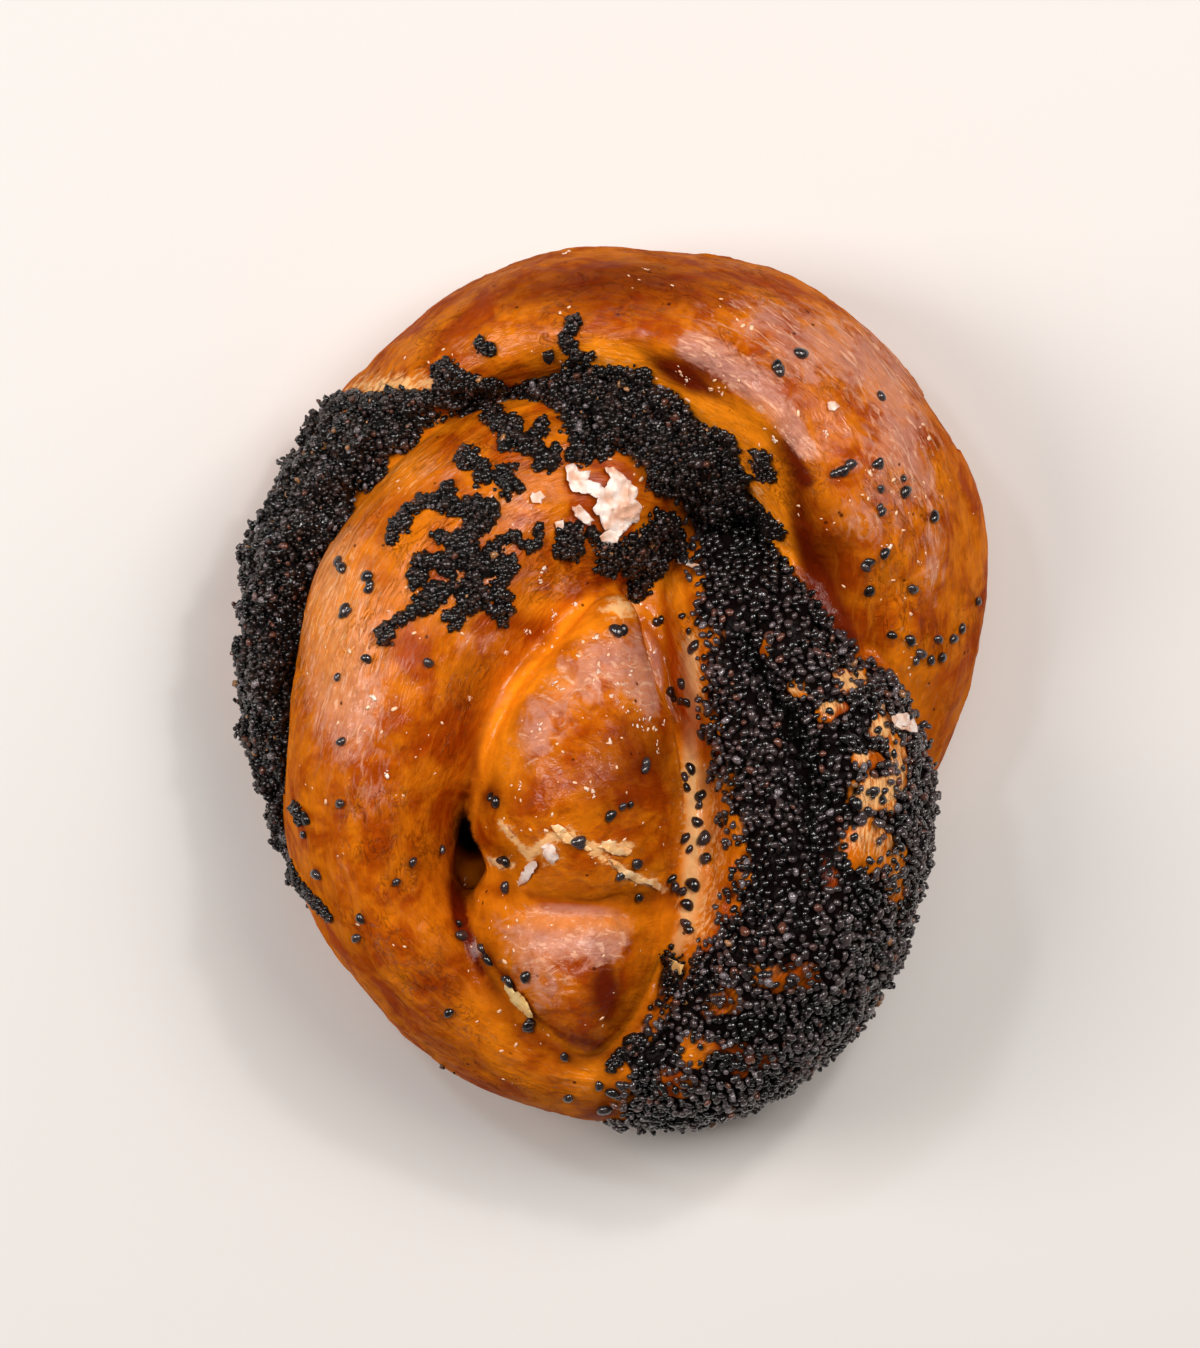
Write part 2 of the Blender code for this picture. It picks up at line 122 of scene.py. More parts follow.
STRIP = level_under(
    14, (9.6, -5, 1.2, 22, 26), (10.4, -10, 2.4, 24, 31.5), (10.8, -16, 2.7, 24, 33),
    (10.6, -22, 2.7, 24, 33), (9.4, -27.5, 2.4, 24, 32.5), (7.6, -32, 1.6, 22, 29), (6.4, -35, 1, 22, 26),
)
# Each strand of dough, and how far its crest leans to one side
STRANDS = ((OUTER, -3.0), (RING, 0.0), (SEEDED, 0.0), (UPPER, 0.0), (LOWER, 0.0), (STRIP, 0.0))
OUTER_ID, RING_ID, SEEDED_ID, UPPER_ID, LOWER_ID, STRIP_ID, CORE_ID = range(7)

# Lines pressed in the dough, or raised where the depth is negative: width, depth, and x and y along it
PRESSED = (
    (2.2, 3, (17.6, 5, 21.4, -2.1, 24.1, -6.8, 25.2, -11.8, 26.8, -16.8)),
    (1.8, 1.8, (34.6, 12.6, 33.2, 7, 32.4, 2)),
    (3.2, 2.6, (26.8, 14, 29, 9.4, 30.4, 5)),
    (2.4, 1, (-4.2, -1, -1.2, 6.4)),
    (2, -0.9, (4.1, 43.9, 10.4, 42, 16.6, 38.9, 21.6, 32.6, 25.4, 25.1, 26.9, 20.1)),
    (2.4, 0.8, (6.5, 39.2, 12, 37.2, 16.8, 31.6, 20.6, 25)),
)


def eased(rows, count):
    """Rows of numbers at even steps along the smooth curve through `rows`, and their places along it."""
    rows = np.array(rows, float)
    at = np.concatenate(([0.0], np.cumsum(np.hypot(*np.diff(rows[:, :2], axis=0).T))))
    low = np.maximum(np.arange(len(rows)) - 1, 0)
    high = np.minimum(np.arange(len(rows)) + 1, len(rows) - 1)
    slopes = (rows[high] - rows[low]) / (at[high] - at[low])[:, None]
    place = np.linspace(0, at[-1], count)
    piece = np.clip(np.searchsorted(at, place) - 1, 0, len(rows) - 2)
    span = at[piece + 1] - at[piece]
    t = (place - at[piece]) / span
    w = ((1 + 2 * t) * (1 - t) ** 2, t * (1 - t) ** 2 * span, t * t * (3 - 2 * t), t * t * (t - 1) * span)
    four = (rows[piece], slopes[piece], rows[piece + 1], slopes[piece + 1])
    return sum(a[:, None] * b for a, b in zip(w, four)), place


def strand(rows, stations, around, lean=0.0):
    """(grid of points, place along, signed arc from the crest) of a strand, and its two ends."""
    line, place = eased(rows, stations)
    along = line[2:, :2] - line[:-2, :2]
    along /= np.hypot(*along.T)[:, None]
    x, y, half, widest, crest, under = line[1:-1].T[:, :, None]
    to_end = np.minimum(np.arange(1, stations - 1), np.arange(stations - 2, 0, -1)) / (END_SHARE * stations)
    rounding = np.sqrt(1 - (1 - np.minimum(to_end, 1.0)) ** 2)[:, None]
    angle = math.tau * np.arange(around)[None, :] / around
    over = np.sin(angle) >= -1e-9
    power = np.where(over, 2 / ROUND_TOP, 2 / ROUND_FOOT)
    up = np.abs(np.sin(angle)) ** power
    sideways = np.sign(np.cos(angle)) * np.abs(np.cos(angle)) ** power
    across = half * rounding * sideways + np.where(over, lean * rounding * up, 0.0)
    height = np.where(over, crest - widest, under - widest) * rounding * up
    points = np.stack((x + along[:, 1:] * across, y - along[:, :1] * across, widest + height), axis=-1)
    arc = ((angle - math.pi / 2 + math.pi) % math.tau - math.pi) * half
    ends = np.array([(r[0], r[1], r[3]) for r in (line[0], line[-1])])
    return points, np.broadcast_to(place[1:-1, None], arc.shape), arc, ends


def outward(grid):
    """The points of a strand's grid in one list, and their directions away from its middle line."""
    away = grid - grid.mean(axis=1, keepdims=True)
    away /= np.linalg.norm(away, axis=-1, keepdims=True)
    return grid.reshape(-1, 3), away.reshape(-1, 3)


def distance_to_line(points, line):
    """Distance in plan from points to a line, given as flat numbers."""
    line = pairs(line)
    nearest = np.full(len(points), 1e9)
    for a, b in zip(line[:-1], line[1:]):
        t = np.clip((points[:, :2] - a) @ (b - a) / ((b - a) @ (b - a)), 0, 1)
        nearest = np.minimum(nearest, np.hypot(*(points[:, :2] - a - t[:, None] * (b - a)).T))
    return nearest


def field(points, span, seed=0.0):
    """Smooth noise at points, about -1 to 1, with features about `span` across."""
    offset = Vector((seed * 17.3, seed * 5.1, seed * 9.7))
    return np.array([noise.noise(Vector(p) / span + offset) for p in points])


def lumps(points, span, seed):
    """Height of rounded lumps about `span` apart, 1 on their tops and 0 between them."""
    offset = Vector((seed * 7.9, seed * 3.3, seed * 5.7))
    away = np.array([noise.voronoi(Vector(p) / span + offset)[0][0] for p in points])
    return np.clip(1 - away * 1.25, 0, 1)


def facets(points, seed):
    """Height of plates about one unit across, each tilted its own way."""
    offset = Vector((seed * 3.7, seed * 8.3, seed * 2.9))
    out = np.empty(len(points))
    for index, p in enumerate(points):
        q = Vector(p) + offset
        middle = noise.voronoi(q)[1][0]
        tilt = noise.cell_vector(middle * 9.13 + offset) - Vector((0.5, 0.5, 0.5))
        out[index] = (q.x - middle.x) * tilt.x + (q.y - middle.y) * tilt.y
    return out


def step(low, high, value):
    """0 up to `low`, 1 from `high`, and a smooth change between them; either may be the larger."""
    t = np.clip((value - low) / (high - low), 0, 1)
    return t * t * (3 - 2 * t)


def near_point(points, middle, reach):
    """1 at the middle in plan, fading to 0 over its reach along each axis."""
    x, y = ((points[:, :2] - middle) / reach).T
    return np.exp(-(x ** 2) - y ** 2)


def near_line(points, line, reach):
    """1 on the line in plan, fading to 0 over the reach."""
    return np.exp(-((distance_to_line(points, line) / reach) ** 2))


def tube_faces(rings, around, first, last):
    """Quads of a tube of rings, and triangles that close it at its first and last points."""
    i, j = np.meshgrid(np.arange(rings - 1), np.arange(around), indexing="ij")
    k = (j + 1) % around
    a, b = i * around, (i + 1) * around
    quads = np.stack((a + j, a + k, b + k, b + j), axis=-1).reshape(-1, 4)
    j = np.arange(around)
    k = (j + 1) % around
    tail = (rings - 1) * around
    caps = [(first, q, p) for p, q in zip(j, k)] + [(last, tail + p, tail + q) for p, q in zip(j, k)]
    return quads, np.array(caps)


def new_object(name, points, faces, smooth=True):
    """An object from points in the record's frame and lists of faces."""
    mesh = bpy.data.meshes.new(name)
    mesh.vertices.add(len(points))
    mesh.vertices.foreach_set("co", (np.asarray(points) * MM).astype(np.float32).ravel())
    sizes = np.concatenate([np.full(len(f), f.shape[1]) for f in faces])
    loops = np.concatenate([f.ravel() for f in faces])
    mesh.loops.add(len(loops))
    mesh.loops.foreach_set("vertex_index", loops.astype(np.int32))
    mesh.polygons.add(len(sizes))
    starts = np.concatenate(([0], np.cumsum(sizes)[:-1]))
    mesh.polygons.foreach_set("loop_start", starts.astype(np.int32))
    mesh.update(calc_edges=True)
    mesh.validate()
    if smooth:
        mesh.shade_smooth()
    obj = bpy.data.objects.new(name, mesh)
    bpy.context.scene.collection.objects.link(obj)
    return obj


def read(items, key, width, kind=np.float32):
    """A property of a mesh's items, one row for each."""
    out = np.empty(len(items) * width, kind)
    items.foreach_get(key, out)
    return out.reshape(-1, width)


def points_of(mesh):
    return read(mesh.vertices, "co", 3).astype(float) / MM


def normals_of(mesh):
    return read(mesh.vertex_normals, "vector", 3).astype(float)


def edges_of(mesh):
    return read(mesh.edges, "vertices", 2, np.int32)


def triangles_of(mesh):
    mesh.calc_loop_triangles()
    return read(mesh.loop_triangles, "vertices", 3, np.int32)


def tree_of(points, triangles):
    return BVHTree.FromPolygons([Vector(p) for p in points], triangles.tolist())


def set_points(mesh, points):
    mesh.vertices.foreach_set("co", (points * MM).astype(np.float32).ravel())
    mesh.update()


def attribute(mesh, name, values):
    """Numbers or vectors at the mesh's points, for its material."""
    kind, key = ("FLOAT", "value") if values.ndim == 1 else ("FLOAT_VECTOR", "vector")
    mesh.attributes.new(name, kind, "POINT").data.foreach_set(key, values.astype(np.float32).ravel())


def smoothed(mesh, values, rounds):
    """Values at the mesh's points, moved halfway towards the mean of their neighbours in each round."""
    a, b = edges_of(mesh).T
    count = np.bincount(a, minlength=len(values)) + np.bincount(b, minlength=len(values))
    columns = []
    for column in values.reshape(len(values), -1).T:
        for _ in range(rounds):
            total = np.bincount(a, column[b], len(values)) + np.bincount(b, column[a], len(values))
            column = column + 0.5 * (total / count - column)
        columns.append(column)
    return np.stack(columns, axis=-1).reshape(values.shape)


def within_strand(mesh, values, ids, rounds):
    """Values smoothed along the edges that stay on one strand and don't jump."""
    edges = edges_of(mesh)
    a, b = edges[ids[edges[:, 0]] == ids[edges[:, 1]]].T
    near = np.abs(values[a] - values[b]) < FAR
    a, b = a[near], b[near]
    count = np.bincount(a, minlength=len(values)) + np.bincount(b, minlength=len(values))
    for _ in range(rounds):
        total = np.bincount(a, values[b], len(values)) + np.bincount(b, values[a], len(values))
        values = np.where(count > 0, 0.4 * values + 0.6 * total / np.maximum(count, 1), values)
    return values


def edit(mesh, change):
    """Changes a mesh as a bmesh."""
    work = bmesh.new()
    work.from_mesh(mesh)
    change(work)
    work.to_mesh(mesh)
    work.free()


def recalculate(mesh):
    """Turns the faces outward."""
    edit(mesh, lambda work: bmesh.ops.recalc_face_normals(work, faces=work.faces))


def cut_at_tray(work):
    """Cuts a bmesh off flat at height 0 and closes it."""
    everything = work.verts[:] + work.edges[:] + work.faces[:]
    cut = bmesh.ops.bisect_plane(
        work, geom=everything, plane_co=(0, 0, 0), plane_no=(0, 0, -1), clear_outer=True
    )
    rim = [e for e in cut["geom_cut"] if isinstance(e, bmesh.types.BMEdge)]
    bmesh.ops.contextual_create(work, geom=rim)


def dress(obj, look, node):
    """Gives a piece its look, and says what it rides on, which node it replaces."""
    obj.data.materials.append(look)
    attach(obj, "root")
    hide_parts(node)


# ---------------------------------------------------------------- dough

def strand_hulls():
    """The strands' points, quads and end caps, with the strand, place and arc of each point."""
    made = []
    for index, (rows, lean) in enumerate(STRANDS):
        length = sum(math.dist(a[:2], b[:2]) for a, b in zip(rows, rows[1:]))
        stations = max(int(length / STATION_GAP), MIN_STATIONS)
        grid, place, arc, ends = strand(rows, stations, AROUND, lean)
        flat, away = outward(grid)
        relief = 0.9 * field(flat, 13.0)
        half = np.repeat(eased(rows, stations)[0][1:-1, 2], AROUND)
        over = np.abs(arc.ravel()) < math.pi / 2 * half
        for width, depth, line in PRESSED:
            relief -= over * depth * near_line(flat, line, width)
        flat = flat + away * relief[:, None]
        quads, caps = tube_faces(len(grid), AROUND, len(flat), len(flat) + 1)
        owner = np.full(len(flat), index)
        made.append((np.concatenate((flat, ends)), quads, caps, owner, place.ravel(), arc.ravel()))
    return made


def core_ball():
    """Points, quads and triangles of the ball of dough inside the knot."""
    work = bmesh.new()
    bmesh.ops.create_uvsphere(work, u_segments=96, v_segments=40, radius=1.0)
    points = np.array([v.co for v in work.verts]) * CORE_REACH + CORE_MIDDLE
    sides = [[v.index for v in f.verts] for f in work.faces]
    work.free()
    return points, *(np.array([f for f in sides if len(f) == count]) for count in (4, 3))


def build_dough(hulls):
    """The dough as one surface, with its strand, place along, arc and distance to a seam at each point."""
    core = core_ball()
    solids = [hull[:3] for hull in hulls] + [core]
    starts = np.cumsum([0] + [len(s[0]) for s in solids])
    faces = [np.concatenate([s[kind] + start for s, start in zip(solids, starts)]) for kind in (1, 2)]
    obj = new_object("dough_crust", np.concatenate([s[0] for s in solids]) + PLAN_SHIFT, faces)
    recalculate(obj.data)
    remesh = obj.modifiers.new("union", "REMESH")
    remesh.mode = "VOXEL"
    remesh.voxel_size = VOXEL * MM
    graph = bpy.context.evaluated_depsgraph_get()
    mesh = bpy.data.meshes.new_from_object(obj.evaluated_get(graph))
    obj.modifiers.remove(remesh)
    old, obj.data = obj.data, mesh
    bpy.data.meshes.remove(old)
    set_points(mesh, smoothed(mesh, points_of(mesh), 3))
    edit(mesh, cut_at_tray)
    mesh.shade_smooth()

    spots = points_of(mesh) - PLAN_SHIFT
    tree_points = np.concatenate([h[0][:-2] for h in hulls] + [core[0]])
    owners = np.concatenate([h[3] for h in hulls] + [np.full(len(core[0]), CORE_ID)])
    places = np.concatenate([h[4] for h in hulls] + [core[0][:, 0]])
    arcs = np.concatenate([h[5] for h in hulls] + [core[0][:, 1]])
    tree = KDTree(len(tree_points))
    for index, point in enumerate(tree_points):
        tree.insert(point, index)
    tree.balance()
    nearest = np.array([tree.find(p)[1] for p in spots])
    ids = owners[nearest]
    place = within_strand(mesh, places[nearest], ids, 8)
    arc = within_strand(mesh, arcs[nearest], ids, 8)
    seam = np.full(len(spots), NO_SEAM)
    for index, (hull, quads, caps, *_) in enumerate(hulls):
        other = tree_of(hull, np.concatenate((quads[:, [0, 1, 2]], quads[:, [0, 2, 3]], caps)))
        for vertex in np.where((ids != index) & (spots[:, 2] > SEAM_FLOOR))[0]:
            hit = other.find_nearest(spots[vertex], FAR)
            if hit[0] is not None and hit[3] < seam[vertex]:
                seam[vertex] = hit[3]
    return obj, spots, ids, place, arc, seam


dough, spots, strand_of, place_of, arc_of, seam_of = build_dough(strand_hulls())
# The wrinkles of the buttons run across the knot
buttons = np.isin(strand_of, (UPPER_ID, LOWER_ID))
place_of = np.where(buttons, 1.5 * spots[:, 0], place_of)
arc_of = np.where(buttons, 0.6 * spots[:, 1], arc_of)

# Left edge of the seed coat in plan, from the top of the mound to the bottom of the bun
COAT_EDGE = (
    9.8, 18, 10.4, 12.6, 11.2, 6.4, 11.3, -1.1, 11.8, -7, 13.2, -10.5, 14.6, -16, 15.2, -21, 14.4, -26,
    12, -30, 8.4, -33.5, 6.6, -37.4, 4.1, -42.4, 1.2, -44.5, 1.4, -53.4, 1, -60,
)
# Thin places in the coat: x, y, reach along X, reach along Y, how bare
THIN = (
    (29.7, 1.4, 2.2, 1.2, 0.8), (33.6, -4.1, 1.4, 1.3, 1), (36, -8, 1, 3.6, 1), (32.9, -12.6, 2.9, 1.8, 1),
    (32, -18.6, 2.8, 2.6, 0.95), (35.9, -22.6, 1, 3.6, 0.9), (26.6, -2.6, 1.4, 0.9, 0.6),
    (32.3, -8.2, 1.5, 0.9, 0.75), (21.6, -34.8, 3.8, 1.7, 0.36), (26.4, -22.5, 2, 2.6, 0.35),
    (11.4, -44.3, 2, 1.8, 0.9), (8, -48.6, 2.4, 1.5, 0.6), (19.1, 5.1, 1, 0.8, 0.9),
    (23, 0.1, 1.2, 0.9, 0.9), (27.6, -1.9, 1.7, 0.8, 0.8), (17, -45.5, 3, 1.6, 0.35),
    (14, -38, 2.2, 1.8, 0.3),
)
# Deep groove in the coat, and the dark hollow between the seams
GROOVE = (16.6, 7, 18.4, 3.4, 20.8, -1, 23.2, -5.6, 24.3, -11, 25, -18, 25.6, -24)
HOLLOW, HOLLOW_REACH = (17.4, 17.6), (6.4, 6.2)


def right_of_edge(p):
    """How far points lie to the right of the coat's edge."""
    edge = pairs(COAT_EDGE)[::-1]
    return p[:, 0] - np.interp(p[:, 1], edge[:, 1], edge[:, 0])


def coat_weight():
    """How thick the seeds lie at each point of the dough, 0 to 1."""
    ragged = field(spots, 2.6, 2) + 0.5 * field(spots, 1.1, 7)
    wander = 4.5 * field(spots, 8.0, 41) * step(26, 14, spots[:, 2])
    inside = step(-0.8, 2.6, right_of_edge(spots) + 1.8 * ragged + wander)
    weight = inside * np.isin(strand_of, (SEEDED_ID, RING_ID, CORE_ID)) * (spots[:, 2] > 2.0)
    weight *= (spots[:, 1] < 24) & (spots[:, 0] > -6)
    for x, y, reach_x, reach_y, bare in THIN:
        out = ((spots[:, 0] - x) / reach_x) ** 2 + ((spots[:, 1] - y) / reach_y) ** 2
        weight *= 1 - bare * step(2.2, 0.5, out + 1.5 * ragged)
    return np.clip(weight * step(1, 9, spots[:, 2] + 4 * ragged), 0, 1)


coat = coat_weight()
on_coat = (strand_of == SEEDED_ID) * step(0.5, 3.0, right_of_edge(spots)) * step(4, 9, spots[:, 2])
groove = near_line(spots, GROOVE, 1.25) * coat


def add_relief(spots):
    """(points, bareness) of the dough with wrinkles along its strands and clods of seeds on the mound."""
    mesh = dough.data
    lengthways = np.stack((place_of / 9.0, arc_of / 3.6, strand_of * 7.0), axis=-1)
    lengthways[:, :2] += 0.35 * np.stack((field(spots, 5.0, 31), field(spots, 5.0, 32)), axis=-1)
    relief = 0.30 * (np.abs(field(lengthways, 1.0, 3)) - 0.2)
    relief += 0.12 * (np.abs(field(lengthways, 0.42, 4)) - 0.2)
    relief += 0.50 * facets(lengthways, 1) + 0.22 * facets(lengthways * 2.3, 2)
    relief += 0.07 * field(spots, 1.5, 5)
    bare = 1 - step(0.1, 0.6, coat)
    clods = 1.3 * (lumps(spots, 4.8, 1) - 0.5) + 0.7 * (lumps(spots, 2.2, 2) - 0.45)
    relief = relief * bare + clods * (1 - bare) - 2.0 * groove
    relief *= step(0.5, 5.0, spots[:, 2])
    spots = spots + normals_of(mesh) * relief[:, None]
    # Where strands meet, the voxels' steps are smoothed away, but not in the hole
    at_seam = step(2.4, 0.8, smoothed(mesh, np.minimum(seam_of, FAR), 4)) * (1 - coat)
    at_seam *= step(4.0, 8.0, np.hypot(spots[:, 0] - HOLE[0], spots[:, 1] - HOLE[1]))
    spots += at_seam[:, None] * (smoothed(mesh, spots, 70) - spots)
    set_points(mesh, spots + PLAN_SHIFT)
    return spots, bare


spots, bare_dough = add_relief(spots)
dough_triangles = triangles_of(dough.data)
dough_normals = normals_of(dough.data)


# ---------------------------------------------------------------- filling

def hollow(at):
    """How deep points lie in the dark hollow between the seams, or in the groove of the coat."""
    x, y = ((at[:, :2] - HOLLOW) / HOLLOW_REACH).T
    return np.maximum(np.exp(-((x ** 2 + y ** 2) ** 1.5)), near_line(at, GROOVE, 1.4))


def build_filling():
    """The mass of the filling: a tube of clods."""
    grid, _, _, ends = strand(FILLING, stations=330, around=80)
    flat, away = outward(grid)
    relief = 4.2 * (lumps(flat, 4.2, 5) - 0.5) + 2.2 * (lumps(flat, 2.3, 6) - 0.42) - 2.0 * hollow(flat)
    flat = flat + away * np.clip(relief, -3.0, 1.5)[:, None]
    faces = tube_faces(*grid.shape[:2], len(flat), len(flat) + 1)
    obj = new_object("filling_mass", np.concatenate((flat, ends)) + PLAN_SHIFT, faces)
    recalculate(obj.data)
    # Tint 0 makes the whole mass black, painted shade in the gaps between its grains
    attribute(obj.data, "tint", np.zeros(len(obj.data.vertices)))
    return obj


filling = build_filling()
fill_spots = points_of(filling.data) - PLAN_SHIFT
fill_triangles = triangles_of(filling.data)
fill_normals = normals_of(filling.data)
dough_tree = tree_of(spots, dough_triangles)
bun_tree = tree_of(
    np.concatenate((spots, fill_spots)), np.concatenate((dough_triangles, fill_triangles + len(spots)))
)


def seen(x, y):
    """(point, normal) where the line of sight through a pixel of the frame meets the bun."""
    aim = Vector(((x - ORIGIN_X) / PX_PER_MM, (ORIGIN_Y - y) / PX_PER_MM, LEVEL))
    return bun_tree.ray_cast(EYE, (aim - EYE).normalized())[:2]


# ---------------------------------------------------------------- node helpers

class Nodes:
    """A short way to write a material's nodes."""

    def __init__(self, name):
        self.material = bpy.data.materials.new(name)
        self.material.use_nodes = True
        self.tree = self.material.node_tree
        self.shader = self.tree.nodes["Principled BSDF"]
        self.coords = self.add("TexCoord").outputs["Object"]

    def add(self, kind, **settings):
        node = self.tree.nodes.new("ShaderNode" + kind)
        for key, value in settings.items():
            setattr(node, key, value)
        return node

    def put(self, socket, value):
        """Links a socket to another, or gives it a number, vector or colour."""
        if isinstance(value, bpy.types.NodeSocket):
            self.tree.links.new(value, socket)
        elif isinstance(value, tuple) and socket.type == "RGBA":
            socket.default_value = (*value, 1.0)
        else:
            socket.default_value = value

    def fill(self, node, values, output=0):
        """Puts values on a node's inputs, by number or name, and gives one of its outputs."""
        for key, value in values.items():
            self.put(node.inputs[key], value)
        return node.outputs[output]

    def value(self, name):
        return self.add("Attribute", attribute_name=name).outputs["Fac"]

    def vector(self, name):
        return self.add("Attribute", attribute_name=name).outputs["Vector"]

    def plus(self, a, b):
        return self.fill(self.add("Math", operation="ADD"), {0: a, 1: b})

    def minus(self, a, b):
        return self.fill(self.add("Math", operation="SUBTRACT"), {0: a, 1: b})

    def times(self, a, b):
        return self.fill(self.add("Math", operation="MULTIPLY"), {0: a, 1: b})

    def size(self, a):
        return self.fill(self.add("Math", operation="ABSOLUTE"), {0: a})

    def scaled(self, vector, scale):
        return self.fill(self.add("VectorMath", operation="MULTIPLY"), {0: vector, 1: scale})

    def noise(self, vector, scale, detail=3.0, roughness=0.55, distortion=0.0):
        values = {"Scale": scale, "Detail": detail, "Roughness": roughness, "Distortion": distortion}
        return self.fill(self.add("TexNoise"), {"Vector": vector, **values}, "Fac")

    def cells(self, vector, scale, feature="F1"):
        node = self.add("TexVoronoi", feature=feature)
        return self.fill(node, {"Vector": vector, "Scale": scale}, "Distance")

    def ramp(self, value, low, high, to_low=0.0, to_high=1.0):
        node = self.add("MapRange", interpolation_type="SMOOTHSTEP")
        return self.fill(node, dict(enumerate((value, low, high, to_low, to_high))))

    def mix(self, factor, a, b, blend="MIX"):
        return self.fill(self.add("Mix", data_type="RGBA", blend_type=blend), {0: factor, 6: a, 7: b}, 2)

    def bump(self, height, distance, under=None):
        """A bump as deep as `distance`, in metres, over the normal of another bump."""
        values = {"Strength": 1.0, "Distance": distance, "Height": height}
        return self.fill(self.add("Bump"), values if under is None else {**values, "Normal": under})

    def set(self, **inputs):
        """Puts values on the shader's own inputs."""
        for key, value in inputs.items():
            self.put(self.shader.inputs[key.replace("_", " ")], value)


def srgb(*channels):
    """A colour from its sRGB bytes."""
    shares = [c / 255 for c in channels]
    return tuple(c / 12.92 if c <= 0.04045 else ((c + 0.055) / 1.055) ** 2.4 for c in shares)


# ---------------------------------------------------------------- crust

